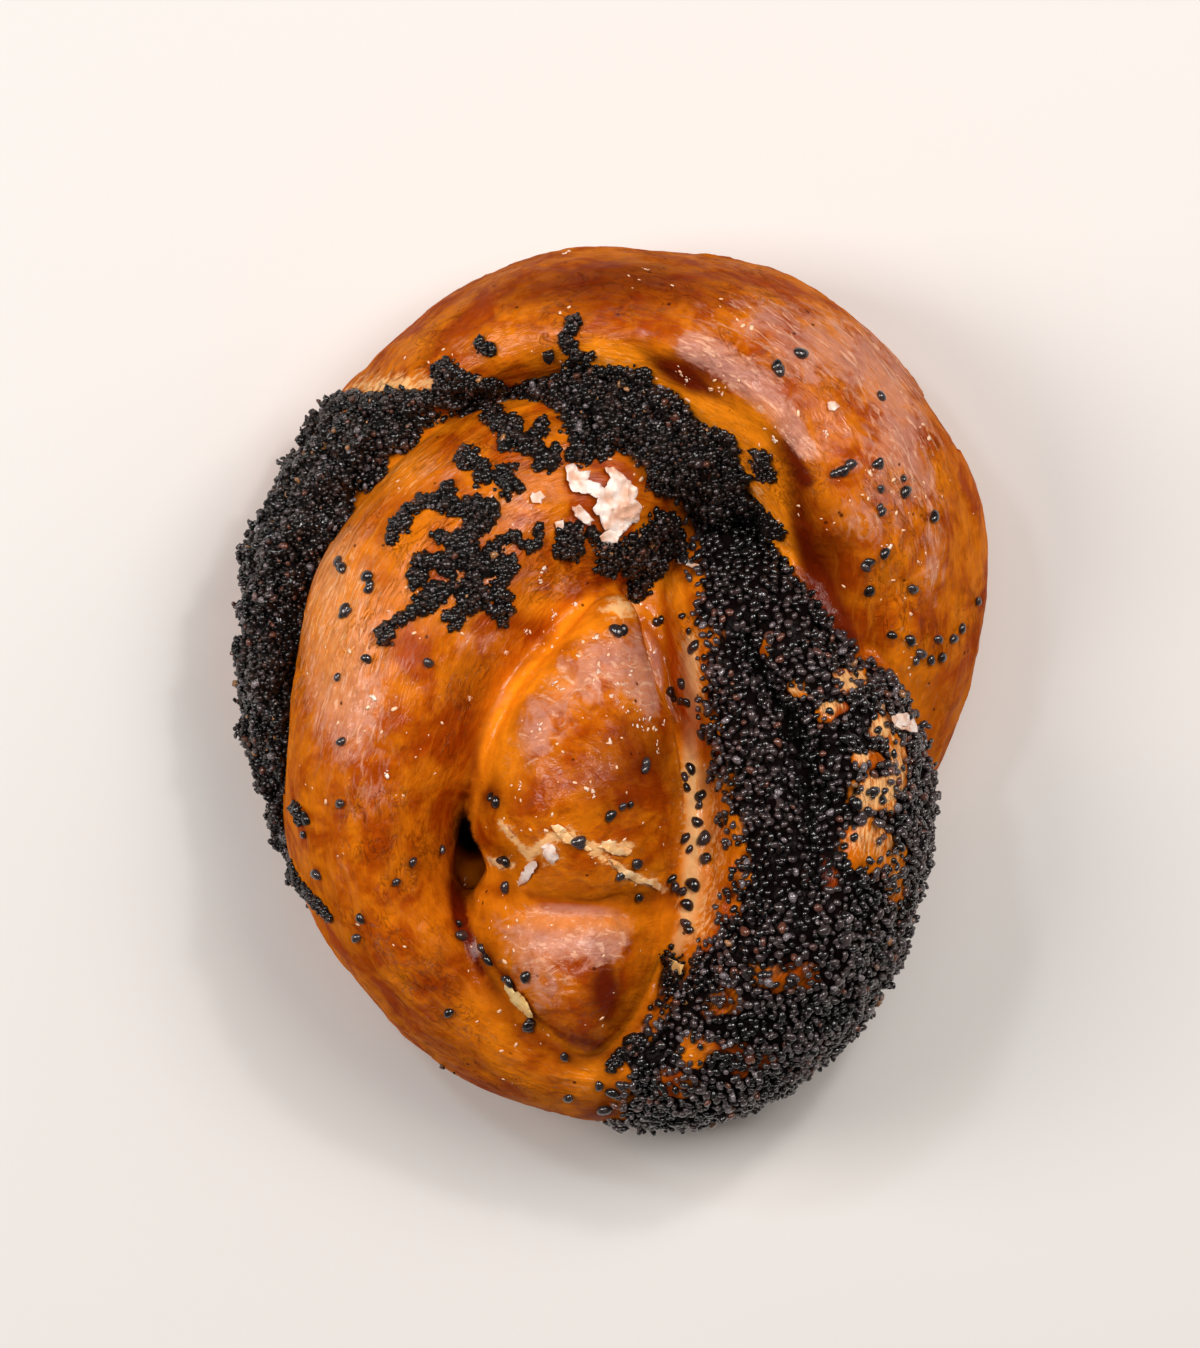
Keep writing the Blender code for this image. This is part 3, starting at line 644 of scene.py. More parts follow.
def crust_material():
    n = Nodes("crust")
    flow = n.vector("flow")
    calm = n.value("calm")

    def streaky(scales, detail, roughness, distortion):
        """Noise along the strands that fades to its middle value where strands meet."""
        pattern = n.noise(n.scaled(flow, scales), 1.0, detail, roughness, distortion)
        return n.plus(0.5, n.times(calm, n.minus(pattern, 0.5)))

    # Amber to brown, the brown partly painted shade, and yellow and cream where the dough stayed pale
    streak = streaky((0.16, 0.62, 1.0), 4.0, 0.58, 0.8)
    fine = streaky((0.7, 2.4, 1.0), 3.0, 0.6, 0.5)
    blotch = n.noise(n.coords, 150.0, 4.0, 0.6, 0.4)
    wide = n.noise(n.coords, 45.0, 3.0, 0.55)
    amber = n.mix(n.ramp(blotch, 0.36, 0.64), srgb(208, 112, 10), srgb(156, 60, 2))
    amber = n.mix(n.times(n.ramp(streak, 0.5, 0.7), 0.5), amber, srgb(216, 122, 22))
    amber = n.mix(n.times(n.ramp(fine, 0.54, 0.74), 0.4), amber, srgb(112, 38, 1))
    browning_and_shade = n.plus(n.value("brown_and_shade"), n.ramp(wide, 0.3, 0.7, -0.14, 0.14))
    colour = n.mix(n.ramp(browning_and_shade, 0.05, 1.0), amber, srgb(98, 26, 3))
    pale = n.plus(n.value("pale"), n.ramp(blotch, 0.3, 0.7, -0.1, 0.1))
    colour = n.mix(n.ramp(pale, 0.1, 0.95), colour, srgb(236, 134, 18))
    cream = n.ramp(n.plus(n.value("cream"), n.ramp(fine, 0.3, 0.7, -0.24, 0.24)), 0.2, 0.7)
    colour = n.mix(cream, colour, srgb(240, 184, 122))

    # Painted highlight: rosy patches with pale streaks, the softboxes' reflection on the glaze laid into
    # the colour
    painted_sheen_noise = streaky((0.22, 0.42, 1.0), 6.0, 0.66, 1.6)
    painted_sheen = n.ramp(n.plus(n.value("painted_sheen"), n.ramp(painted_sheen_noise, 0.25, 0.75, -0.26, 0.26)), 0.26, 0.64)
    painted_sheen = n.times(painted_sheen, n.ramp(fine, 0.3, 0.7, 0.72, 0.46))
    painted_sheen_colour = n.mix(n.ramp(n.value("pale"), 0.1, 0.55), srgb(200, 145, 126), srgb(206, 132, 82))
    colour = n.mix(painted_sheen, colour, painted_sheen_colour)
    painted_sheen_streak = n.ramp(streaky((0.26, 1.0, 1.0), 4.0, 0.64, 1.6), 0.53, 0.66)
    painted_sheen_streak = n.times(painted_sheen_streak, n.ramp(n.value("painted_sheen"), 0.12, 0.55, 0.0, 0.6))
    colour = n.mix(painted_sheen_streak, colour, srgb(236, 184, 150))

    # Creases, mottle, dark dots, and near-black painted shade under the seeds, in the hole and in the
    # groove
    crease = n.noise(n.scaled(flow, (0.3, 0.7, 1.0)), 1.0, 5.0, 0.6, 1.0)
    crease = n.ramp(n.size(n.minus(crease, 0.5)), 0.0, 0.028, 1.0, 0.0)
    crease = n.times(crease, n.ramp(n.noise(n.coords, 95.0, 2.0), 0.48, 0.62))
    crease = n.times(crease, n.times(n.value("crinkle"), n.minus(1.0, painted_sheen)))
    mottle = n.ramp(n.noise(n.coords, 620.0, 4.0, 0.65), 0.35, 0.65)
    colour = n.mix(n.times(mottle, 0.2), colour, srgb(118, 46, 4), "MULTIPLY")
    colour = n.mix(n.times(crease, 0.3), colour, srgb(96, 32, 4))
    chosen = n.ramp(n.noise(n.coords, 210.0, 1.0), 0.6, 0.64)
    dot = n.times(n.ramp(n.cells(n.coords, 520.0), 0.17, 0.1), chosen)
    colour = n.mix(n.times(dot, 0.85), colour, srgb(64, 20, 6))
    painted_shade = n.ramp(n.plus(n.value("painted_shade"), n.ramp(fine, 0.3, 0.7, -0.1, 0.1)), 0.25, 0.75)
    colour = n.mix(painted_shade, colour, srgb(14, 8, 8))

    # The gloss lies in streaks, and not on the painted shade or where the crust turns away
    rough = n.ramp(n.noise(n.coords, 130.0, 3.0), 0.3, 0.7, 0.4, 0.6)
    glaze = n.ramp(streaky((0.12, 0.24, 1.0), 5.0, 0.62, 1.2), 0.47, 0.53, 0.35, 1.0)
    glaze = n.times(glaze, n.ramp(painted_shade, 0.0, 0.6, 1.0, 0.1))
    rim = n.add("LayerWeight").outputs["Facing"]
    glaze = n.times(glaze, n.ramp(rim, 0.14, 0.42, 1.0, 0.08))
    wrinkle = n.plus(n.times(streak, 0.5), n.times(fine, 0.22))
    wrinkle = n.minus(wrinkle, n.times(crease, 0.16))
    bump = n.bump(n.noise(n.coords, 1100.0, 3.0), 0.00006, n.bump(wrinkle, 0.0006))
    n.set(Base_Color=colour, Roughness=rough, Normal=bump, IOR=1.1, Specular_IOR_Level=0.05)
    n.set(Coat_Weight=glaze, Coat_Roughness=0.1, Coat_IOR=1.36, Coat_Normal=bump)
    n.set(Subsurface_Weight=0.1, Subsurface_Scale=0.0012, Subsurface_Radius=(1.0, 0.45, 0.12))
    return n.material


# Where the crust differs: pixel x, y, reach x, reach y, then brown (with painted shade), yellow, cream,
# rosy painted highlight
SHADES = (
    (395, 385, 62, 14, 0, 0.5, 0.6, 0), (470, 345, 40, 14, 0, 0.25, 0, 0.3),
    (640, 285, 130, 34, 0.52, 0, 0, 0), (520, 290, 90, 30, 0.3, 0, 0, 0), (725, 375, 60, 20, 0.5, 0, 0, 0),
    (785, 455, 22, 50, 0.5, 0, 0, 0), (690, 362, 30, 18, 0.5, 0, 0, 0), (700, 415, 60, 20, 0, 1, 0, 0),
    (765, 500, 26, 50, 0, 1, 0, 0), (745, 445, 26, 26, 0, 0.9, 0, 0), (600, 355, 60, 18, 0, 0.8, 0.1, 0),
    # The next two rows paint shade where the outer strand drops to the mound
    (830, 600, 30, 50, 0.7, 0, 0, 0), (840, 530, 40, 40, 0.3, 0, 0, 0),
    (915, 700, 30, 60, 0.3, 0.45, 0.1, 0), (830, 350, 90, 46, 0, 0, 0, 0.6),
    (900, 440, 44, 90, 0, 0, 0, 0.6), (660, 262, 80, 22, 0.15, 0, 0, -0.3),
    (338, 630, 60, 140, -0.1, 0.2, 0.16, 0.32), (920, 520, 30, 50, 0.2, 0, 0, 0),
    (820, 510, 26, 36, 0.25, 0, 0, 0), (445, 975, 44, 40, 0.32, 0, 0, 0),
    (486, 795, 14, 24, 0.35, -0.4, 0, 0), (515, 762, 20, 28, 0, 0.25, 0.1, 0.2),
    (590, 785, 36, 28, 0.2, 0, 0, -0.35), (524, 940, 34, 26, 0.2, 0.4, 0, -0.1),
    (590, 905, 60, 12, 0.15, -0.3, 0, 0.2), (545, 606, 36, 14, -0.2, 0.8, 0, -0.2),
    (935, 560, 16, 60, 0, 0, 0, 0.4), (860, 520, 34, 26, 0, 0, 0, 0.3), (740, 310, 60, 24, 0, 0, 0, 0.35),
    (335, 600, 44, 110, 0, 0.5, 0.14, 0.2), (400, 470, 50, 34, 0, 0.55, 0.2, 0.1),
    (320, 540, 26, 60, 0, 0, 0.1, 0.4), (350, 700, 34, 50, 0, 0, 0, 0.45),
    (375, 790, 34, 50, 0, 0, 0, 0.25), (555, 590, 44, 22, 0, 0, 0, 0.45), (480, 640, 34, 16, 0, 0, 0, 0.4),
    (440, 470, 30, 16, 0, 0.1, 0, 0.3), (470, 700, 40, 70, 0.4, 0, 0, 0), (430, 870, 60, 90, 0.3, 0, 0, 0),
    (620, 780, 60, 60, 0.4, 0, 0, 0), (500, 735, 24, 66, 0, 0.7, 0, 0), (545, 680, 36, 20, 0, 0.7, 0.1, 0),
    (622, 608, 22, 12, 0, 0.7, 0.7, 0), (585, 630, 30, 14, 0, 0.8, 0, 0), (580, 684, 58, 44, 0, 0, 0, 0.55),
    (535, 735, 24, 34, 0, 0, 0, 0.6), (650, 690, 16, 44, 0, 0, 0, 0.8), (560, 880, 90, 16, 0, 0.4, 0, 0),
    (606, 1004, 34, 34, 0.45, 0, 0, 0), (606, 984, 14, 34, 0.7, 0, 0, 0),
    (535, 940, 46, 34, 0.1, 0, 0, 0.6), (604, 938, 34, 24, 0.3, 0, 0, 0.9),
    (545, 990, 40, 26, 0.15, 0, 0, 0.45), (478, 872, 20, 12, -0.5, 1, 0.1, -0.3),
    (640, 960, 14, 40, 0, 0.4, 0, -0.3), (660, 930, 10, 60, 0, 0.7, 0, 0), (660, 600, 26, 40, 0, 0.6, 0, 0),
    (688, 860, 16, 90, 0, 0.6, 0.25, 0), (690, 680, 10, 40, 0, 0.5, 0.35, 0),
    (485, 1010, 40, 40, 0, 0.45, 0, 0), (590, 1075, 36, 26, 0, 0.6, 0.2, 0),
    (340, 880, 30, 30, 0, 0, 0, 0.2), (849, 680, 20, 12, 0, 0.2, 0.8, 0),
    (880, 727, 12, 12, 0, 0.2, 0.8, 0), (897, 768, 12, 36, 0, 0.3, 0.55, 0),
    (873, 793, 24, 16, 0, 0.2, 0.8, 0), (868, 838, 26, 20, 0.1, 0.4, 0.5, 0),
    (894, 876, 12, 30, 0, 0.4, 0.4, 0), (862, 757, 10, 8, 0, 0.2, 0.7, 0),
    (830, 706, 16, 8, 0, 0.2, 0.7, 0), (794, 690, 12, 8, 0.2, 0.2, 0.5, 0),
    (818, 873, 18, 22, 1.3, -0.5, 0, 0), (780, 972, 50, 26, 0.5, -0.5, 0, 0),
    (704, 1045, 20, 14, 0.2, 0.3, 0.1, 0), (562, 834, 15, 10, 0, 0.5, 0.3, 0),
    (550, 854, 11, 12, 0, 0.4, 0.6, 0.3), (612, 848, 28, 8, 0, 0.5, 0.3, 0),
    (640, 878, 24, 9, 0, 0.5, 0.25, 0), (500, 862, 14, 7, 0, 0.4, 0.3, 0),
    (528, 848, 16, 6, 0, 0.4, 0.2, 0), (508, 830, 10, 8, 0, 0.4, 0.2, 0), (628, 650, 38, 30, 0, 0, 0, 0.45),
    (556, 928, 40, 20, 0, -0.3, 0, 0.5), (668, 770, 26, 50, 0.3, 0, 0, -0.2),
    (640, 740, 34, 34, 0.3, 0, 0, -0.3),
)
# The same along lines: reach in pixels, brown (with painted shade), yellow, cream, rosy painted highlight,
# the line's pixels
BANDS = (
    (9, 0.75, 0, 0, -0.7, (640, 352, 666, 366, 706, 393, 746, 420, 781, 450, 807, 480)),
    (15, 0.1, 0, 0, 0.9, (690, 344, 715, 357, 750, 383, 781, 417, 803, 452)),
    (12, 0, 1, 0.15, -0.8, (600, 352, 640, 376, 670, 400, 710, 422, 742, 448, 757, 490)),
    (9, 0, 0.9, 0.2, -0.8, (757, 490, 778, 524, 790, 560)),
    # Painted shade on the outer strand's inner wall above the mound
    (12, 0.7, 0, 0, 0, (790, 500, 805, 545, 826, 600, 850, 640)),
    (9, 0, 0, 0.15, 0.1, (884, 560, 900, 600, 905, 640)),
    (8, 0, 0.6, 0, -0.5, (590, 602, 560, 640, 520, 690, 492, 740, 482, 790)),
    (9, 0, 0.55, 0.45, -0.5, (690, 640, 694, 700, 690, 770, 694, 830, 690, 900, 676, 950)),
    (13, -0.3, 0.35, 0.32, -0.5, (708, 775, 714, 820, 716, 860, 710, 905, 700, 935)),
    (14, -0.4, 0.8, 0.15, -0.5, (668, 590, 676, 640, 684, 700, 688, 760)),
    # The next three rows paint shade in the creases around the lower button
    (7, 0.95, -0.9, -0.5, -0.8, (454, 882, 459, 915, 474, 946, 500, 984)),
    (6, 0.5, -0.4, 0, -0.5, (500, 984, 530, 1016, 560, 1036, 600, 1046)),
    (5, 0.45, -0.3, 0, -0.4, (530, 893, 580, 898, 640, 899, 668, 893)),
    (3, 0, 0.1, 0.8, -0.5, (498, 822, 514, 838, 532, 862)),
    (4, 0, 0.1, 0.8, -0.5, (532, 852, 548, 838, 566, 834, 590, 846, 628, 848)),
    (3, 0, 0.1, 0.8, -0.5, (592, 852, 616, 866, 640, 880, 664, 890)),
    (3, 0, 0.1, 0.8, -0.5, (490, 860, 512, 866)),
)
# Pixels of the single seeds on the crust
LOOSE = pairs((
    343, 570, 370, 585, 347, 610, 367, 660, 340, 678, 428, 662, 341, 741, 341, 805, 305, 833, 318, 875,
    362, 918, 358, 938, 412, 863, 395, 882, 440, 850, 780, 372, 800, 355, 776, 366, 880, 397, 842, 470,
    850, 466, 876, 465, 903, 480, 905, 492, 880, 508, 932, 517, 885, 553, 913, 587, 868, 590, 893, 635,
    915, 660, 940, 655, 937, 640, 977, 600, 960, 628, 952, 640, 622, 630, 616, 632, 492, 797, 497, 801,
    643, 768, 645, 764, 622, 806, 630, 803, 610, 815, 578, 840, 581, 844, 507, 886, 620, 875, 636, 862,
    638, 896, 502, 858, 506, 861, 570, 330, 550, 355, 368, 588, 369, 578, 341, 562, 350, 612, 344, 616,
    683, 683, 660, 620, 656, 622, 683, 616, 605, 1108, 568, 1096, 566, 1055, 598, 1084, 612, 1092,
    621, 1084, 450, 1013, 528, 1028, 530, 1024, 533, 1019, 528, 977, 505, 977, 511, 980, 484, 948, 487, 955,
    490, 960, 457, 925, 460, 935, 670, 876, 674, 885, 682, 890, 687, 905, 686, 922, 690, 928, 683, 838,
    688, 848, 693, 886, 706, 858, 702, 795, 698, 805, 684, 778, 685, 788, 688, 770, 672, 692, 676, 697,
    682, 700, 688, 702, 695, 645, 692, 650, 762, 455, 766, 462, 770, 474, 764, 468, 725, 432, 870, 560,
    866, 566, 835, 474, 880, 462, 879, 489, 882, 512, 908, 640, 930, 660, 920, 652, 874, 790, 890, 768,
    858, 805, 851, 694, 866, 812, 700, 797, 703, 838, 707, 858, 696, 822, 880, 800,
))
HALO = 9.0  # pixels around a single seed where the crust is browner


def dress_dough():
    """Attributes that colour the crust."""
    mesh = dough.data
    attribute(mesh, "flow", np.stack((place_of, arc_of, strand_of * 31.0), axis=-1))
    z = spots[:, 2]
    ahead = (EYE.z - LEVEL) / (EYE.z - z)
    view_x = ORIGIN_X + PX_PER_MM * (EYE.x + (spots[:, 0] - EYE.x) * ahead)
    view_y = ORIGIN_Y - PX_PER_MM * (EYE.y + (spots[:, 1] - EYE.y) * ahead)
    view = np.stack((view_x, view_y), axis=-1)
    upward = step(-0.1, 0.3, dough_normals[:, 2])
    shade = np.zeros((4, len(spots)))
    for x, y, reach_x, reach_y, *amounts in SHADES:
        shade += np.outer(amounts, near_point(view, (x, y), (reach_x, reach_y)) * upward)
    for reach, *amounts, line in BANDS:
        shade += np.outer(amounts, near_line(view, line, reach) * upward)
    brown_and_shade, pale, cream, painted_sheen = shade
    # Seams are pale on the buttons and darkened with painted shade elsewhere, and the foot is pale
    seam = smoothed(mesh, np.minimum(seam_of, FAR), 6)
    pale = np.maximum(pale, 0.5 * buttons * np.exp(-(((seam - 2.6) / 2.0) ** 2)))
    pale = np.maximum(pale, 0.7 * step(15, 5, z))
    seam_shaded = ~np.isin(strand_of, (SEEDED_ID, STRIP_ID))
    brown_and_shade += (0.35 - 0.35 * buttons) * np.exp(-((seam / 1.5) ** 2)) * seam_shaded
    # The flow jumps where strands meet, so its noise is calmed there
    ends = edges_of(mesh)
    meeting = np.zeros(len(spots))
    meeting[ends[strand_of[ends[:, 0]] != strand_of[ends[:, 1]]]] = 1.0
    attribute(mesh, "calm", 1 - np.clip(3.2 * smoothed(mesh, meeting, 5), 0, 1))
    smooth_skin = np.maximum(buttons, strand_of == STRIP_ID)
    attribute(mesh, "crinkle", step(2.5, 6.0, seam) * (1 - smooth_skin))
    halo = np.zeros(len(spots))
    for x, y in LOOSE:
        halo = np.maximum(halo, np.exp(-(((view_x - x) ** 2 + (view_y - y) ** 2) / HALO ** 2)))
    brown_and_shade = brown_and_shade + 0.3 * halo * upward
    for name, values in (("pale", pale), ("brown_and_shade", brown_and_shade), ("cream", cream), ("painted_sheen", painted_sheen)):
        attribute(mesh, name, np.clip(values, 0, 1))
    # Painted shade, near black: under the seed coat, in the hole and in the coat's groove
    hole = near_point(view, HOLE_PX, (20, 30)) * step(38, 30, z)
    attribute(mesh, "painted_shade", np.maximum(np.maximum(coat ** 2, hole), 1.5 * groove))
    mesh.materials.clear()


dress_dough()
dress(dough, crust_material(), "dough")


# ---------------------------------------------------------------- seeds and crumbs

def seed_templates(segments, rings, wobble, sizes, bend, count):
    """(shapes, faces) of rounded grains of unit length."""
    rows = [(0, 0, 0.5)]
    for polar in [math.pi * i / rings for i in range(1, rings)]:
        for turn in [math.tau * j / segments for j in range(segments)]:
            reach = math.sin(polar)
            rows.append((reach * math.cos(turn) / 2, reach * math.sin(turn) / 2, math.cos(polar) / 2))
    rows.append((0, 0, -0.5))
    shapes = []
    for _ in range(count):
        grain = np.array(rows)[:, [2, 0, 1]]
        grain *= 1 + rng.normal(0, wobble, (len(grain), 1))
        grain *= np.array(sizes)
        grain[:, 1] += bend * (1 - (2 * grain[:, 0]) ** 2)
        shapes.append(grain)
    faces = [(0, 1 + j, 1 + (j + 1) % segments) for j in range(segments)]
    for i in range(rings - 2):
        for j in range(segments):
            a, b = 1 + i * segments, 1 + (i + 1) * segments
            k = (j + 1) % segments
            faces += [(a + j, b + j, b + k), (a + j, b + k, a + k)]
    last = 1 + (rings - 1) * segments
    tail = last - segments
    faces += [(last, tail + (j + 1) % segments, tail + j) for j in range(segments)]
    return np.array(shapes), np.array(faces)


def thinned(points, spacing):
    """Indices of points that keep at least `spacing` from those kept before them."""
    cells, kept = {}, []
    keys = np.floor(points / spacing).astype(int)
    near = [(i, j, k) for i in (-1, 0, 1) for j in (-1, 0, 1) for k in (-1, 0, 1)]
    limit = spacing * spacing
    for index, (p, (x, y, z)) in enumerate(zip(points.tolist(), keys.tolist())):
        others = (q for i, j, k in near for q in cells.get((x + i, y + j, z + k), ()))
        if all((p[0] - q[0]) ** 2 + (p[1] - q[1]) ** 2 + (p[2] - q[2]) ** 2 >= limit for q in others):
            cells.setdefault((x, y, z), []).append(p)
            kept.append(index)
    return np.array(kept, int)


def scatter(points, normals, triangles, weight, per_mm2, spacing):
    """(points, normals) spread over triangles, with a weight from 0 to 1 at each point."""
    a, b, c = points[triangles].transpose(1, 0, 2)
    area = np.linalg.norm(np.cross(b - a, c - a), axis=1) / 2
    chance = area * weight[triangles].mean(axis=1)
    count = int(chance.sum() * per_mm2)
    chosen = rng.choice(len(triangles), count, p=chance / chance.sum())
    u, v = rng.random((2, count))
    flip = u + v > 1
    u[flip], v[flip] = 1 - u[flip], 1 - v[flip]
    w = np.stack((1 - u - v, u, v), axis=-1)[:, :, None]
    at = (points[triangles[chosen]] * w).sum(axis=1)
    facing = (normals[triangles[chosen]] * w).sum(axis=1)
    facing /= np.linalg.norm(facing, axis=1, keepdims=True)
    kept = thinned(at, spacing)
    return at[kept], facing[kept]


def on_dough(weight, per_mm2, spacing):
    return scatter(spots, dough_normals, dough_triangles, weight, per_mm2, spacing)


def on_filling(weight, per_mm2, spacing):
    return scatter(fill_spots, fill_normals, fill_triangles, weight, per_mm2, spacing)


def grains(name, kind, at, facing, length, lift, tilt, spread=0.16, tint=None):
    """One piece of many grains that stand `lift` off the surface and lean by about `tilt`."""
    shapes, faces = kind
    count = len(at)
    which = rng.integers(0, len(shapes), count)
    tangent = np.cross(facing, rng.normal(size=(count, 3)))
    tangent /= np.linalg.norm(tangent, axis=1, keepdims=True)
    lean = rng.normal(0, 1, (count, 1)) * tilt
    axis_x = tangent * np.cos(lean) + facing * np.sin(lean)
    axis_y = np.cross(facing, axis_x)
    axis_y /= np.linalg.norm(axis_y, axis=1, keepdims=True)
    axis_z = np.cross(axis_x, axis_y)
    size = length * np.clip(np.exp(rng.normal(0, spread, (count, 1, 1))), 0.5, 2.2)
    local = shapes[which] * size
    centre = at + facing * np.broadcast_to(lift, count)[:, None]
    placed = (
        local[:, :, :1] * axis_x[:, None]
        + local[:, :, 1:2] * axis_y[:, None]
        + local[:, :, 2:] * axis_z[:, None]
        + centre[:, None]
    )
    per = shapes.shape[1]
    all_faces = (faces[None] + (np.arange(count) * per)[:, None, None]).reshape(-1, 3)
    obj = new_object(name, placed.reshape(-1, 3) + PLAN_SHIFT, [all_faces], smooth=kind is not CRUMB)
    colour = rng.random(count) if tint is None else tint
    attribute(obj.data, "tint", np.repeat(colour, per))
    return obj


def seed_material(name, dark, mid, odd, ridges, glint):
    """Dark grains, each with its own tint and a net of ridges; a few are odd, grey or tan."""
    n = Nodes(name)
    tint = n.value("tint")
    colour = n.mix(n.ramp(tint, 0.0, 0.85), dark, mid)
    colour = n.mix(n.ramp(tint, 0.86, 0.89), colour, odd)
    colour = n.mix(n.ramp(tint, 0.93, 0.94), colour, srgb(134, 124, 128))
    colour = n.mix(n.ramp(tint, 0.985, 0.99), colour, srgb(190, 132, 80))
    net = n.cells(n.coords, 3800.0, "DISTANCE_TO_EDGE")
    ridge = n.times(n.ramp(net, 0.14, 0.03), n.ramp(tint, 0.0, 0.4, 0.15, 0.7))
    colour = n.mix(ridge, colour, ridges)
    bump = n.bump(n.ramp(net, 0.0, 0.2, 1.0, 0.0), 0.0001)
    n.set(Base_Color=colour, Roughness=0.5, Normal=bump, IOR=1.3, Specular_IOR_Level=0.3)
    n.set(Coat_Weight=glint, Coat_Roughness=0.09, Coat_IOR=1.6)
    return n.material


FINE_SEED = seed_templates(14, 8, 0.018, (1.0, 0.76, 0.62), 0.11, 10)
SEED = seed_templates(7, 4, 0.085, (1.0, 0.74, 0.58), 0.1, 14)
CRUMB = seed_templates(6, 3, 0.2, (1.0, 0.84, 0.76), 0.0, 14)
CHIP = seed_templates(6, 3, 0.2, (1.0, 0.6, 0.22), 0.0, 8)
seed_look = seed_material(
    "poppy_seed", srgb(3, 2, 3), srgb(66, 54, 55), srgb(112, 56, 32), srgb(84, 68, 68), 1.0
)
crumb_look = seed_material(
    "poppy_crumb", srgb(2, 1, 1), srgb(40, 25, 20), srgb(104, 56, 36), srgb(62, 46, 42), 0.6
)


def clod_tint(at, drift_seed, height, spread=0.4):
    """Tint that drifts from clod to clod, with a few odd grains, and painted shade: darker low on the
    lumps, black in the hollow and the groove.
    """
    drift = 0.42 + 0.3 * field(at, 4.0, drift_seed) + 1.4 * (height - 0.5)
    tint = np.clip(drift + rng.normal(0, spread, len(at)), 0, 0.85)
    tint = np.where(rng.random(len(at)) < 0.12, 0.86 + 0.14 * rng.random(len(at)), tint)
    return tint * (1 - hollow(at))


# The seed coat: one layer on the dough, and a second on top where the seeds crowd
weight = np.maximum(coat ** 2, 0.06 * on_coat) * (1 - 0.9 * groove)
at, facing = on_dough(weight, per_mm2=7.5, spacing=0.835)
crowd = coat ** 2 * step(-0.15, 0.3, field(spots, 3.2, 9)) * (1 - groove)
over_at, over_facing = on_dough(crowd, per_mm2=4.0, spacing=0.97)
lift = np.concatenate((0.15 + 0.3 * rng.random(len(at)), 0.7 + 0.5 * rng.random(len(over_at))))
tilt = np.where(np.arange(len(lift)) < len(at), 0.5, 0.9)[:, None]
at, facing = np.concatenate((at, over_at)), np.concatenate((facing, over_facing))
tint = clod_tint(at, 8, lumps(at, 4.8, 1))
made = grains("mound_seeds", SEED, at, facing, 1.18, lift, tilt, tint=tint)
dress(made, seed_look, "dough")


# ---------------------------------------------------------------- filling grains and clumps

def outside_dough(points, margin):
    """Which points lie outside the dough, or less than `margin` inside it."""
    out = np.zeros(len(points), bool)
    for index, p in enumerate(points):
        hit, facing, _, away = dough_tree.find_nearest(Vector(p))
        out[index] = (Vector(p) - hit).dot(facing) > 0 or away < margin
    return out


dress(filling, crumb_look, "poppy_filling")
open_air = outside_dough(fill_spots, margin=0.4).astype(float)
# Few grains low between the lumps and in the hollow, where the black mass shows as painted shade
open_air *= 0.12 + 0.88 * step(0.15, 0.45, lumps(fill_spots, 4.2, 5))
open_air *= 1 - 0.85 * hollow(fill_spots)
at, facing = on_filling(open_air, per_mm2=17.0, spacing=0.43)
lift = 0.5 * rng.random(len(at))
tint = clod_tint(at, 12, lumps(at, 2.3, 6), 0.25)
made = grains("filling_crumbs", CRUMB, at, facing, 0.66, lift, 1.0, 0.35, tint)
dress(made, crumb_look, "poppy_filling")
at, facing = on_filling(open_air, per_mm2=1.2, spacing=1.2)
lift = 0.35 + 0.5 * rng.random(len(at))
tint = clod_tint(at, 13, lumps(at, 4.2, 5))
made = grains("filling_seeds", SEED, at, facing, 1.05, lift, 1.0, tint=tint)
dress(made, seed_look, "poppy_filling")

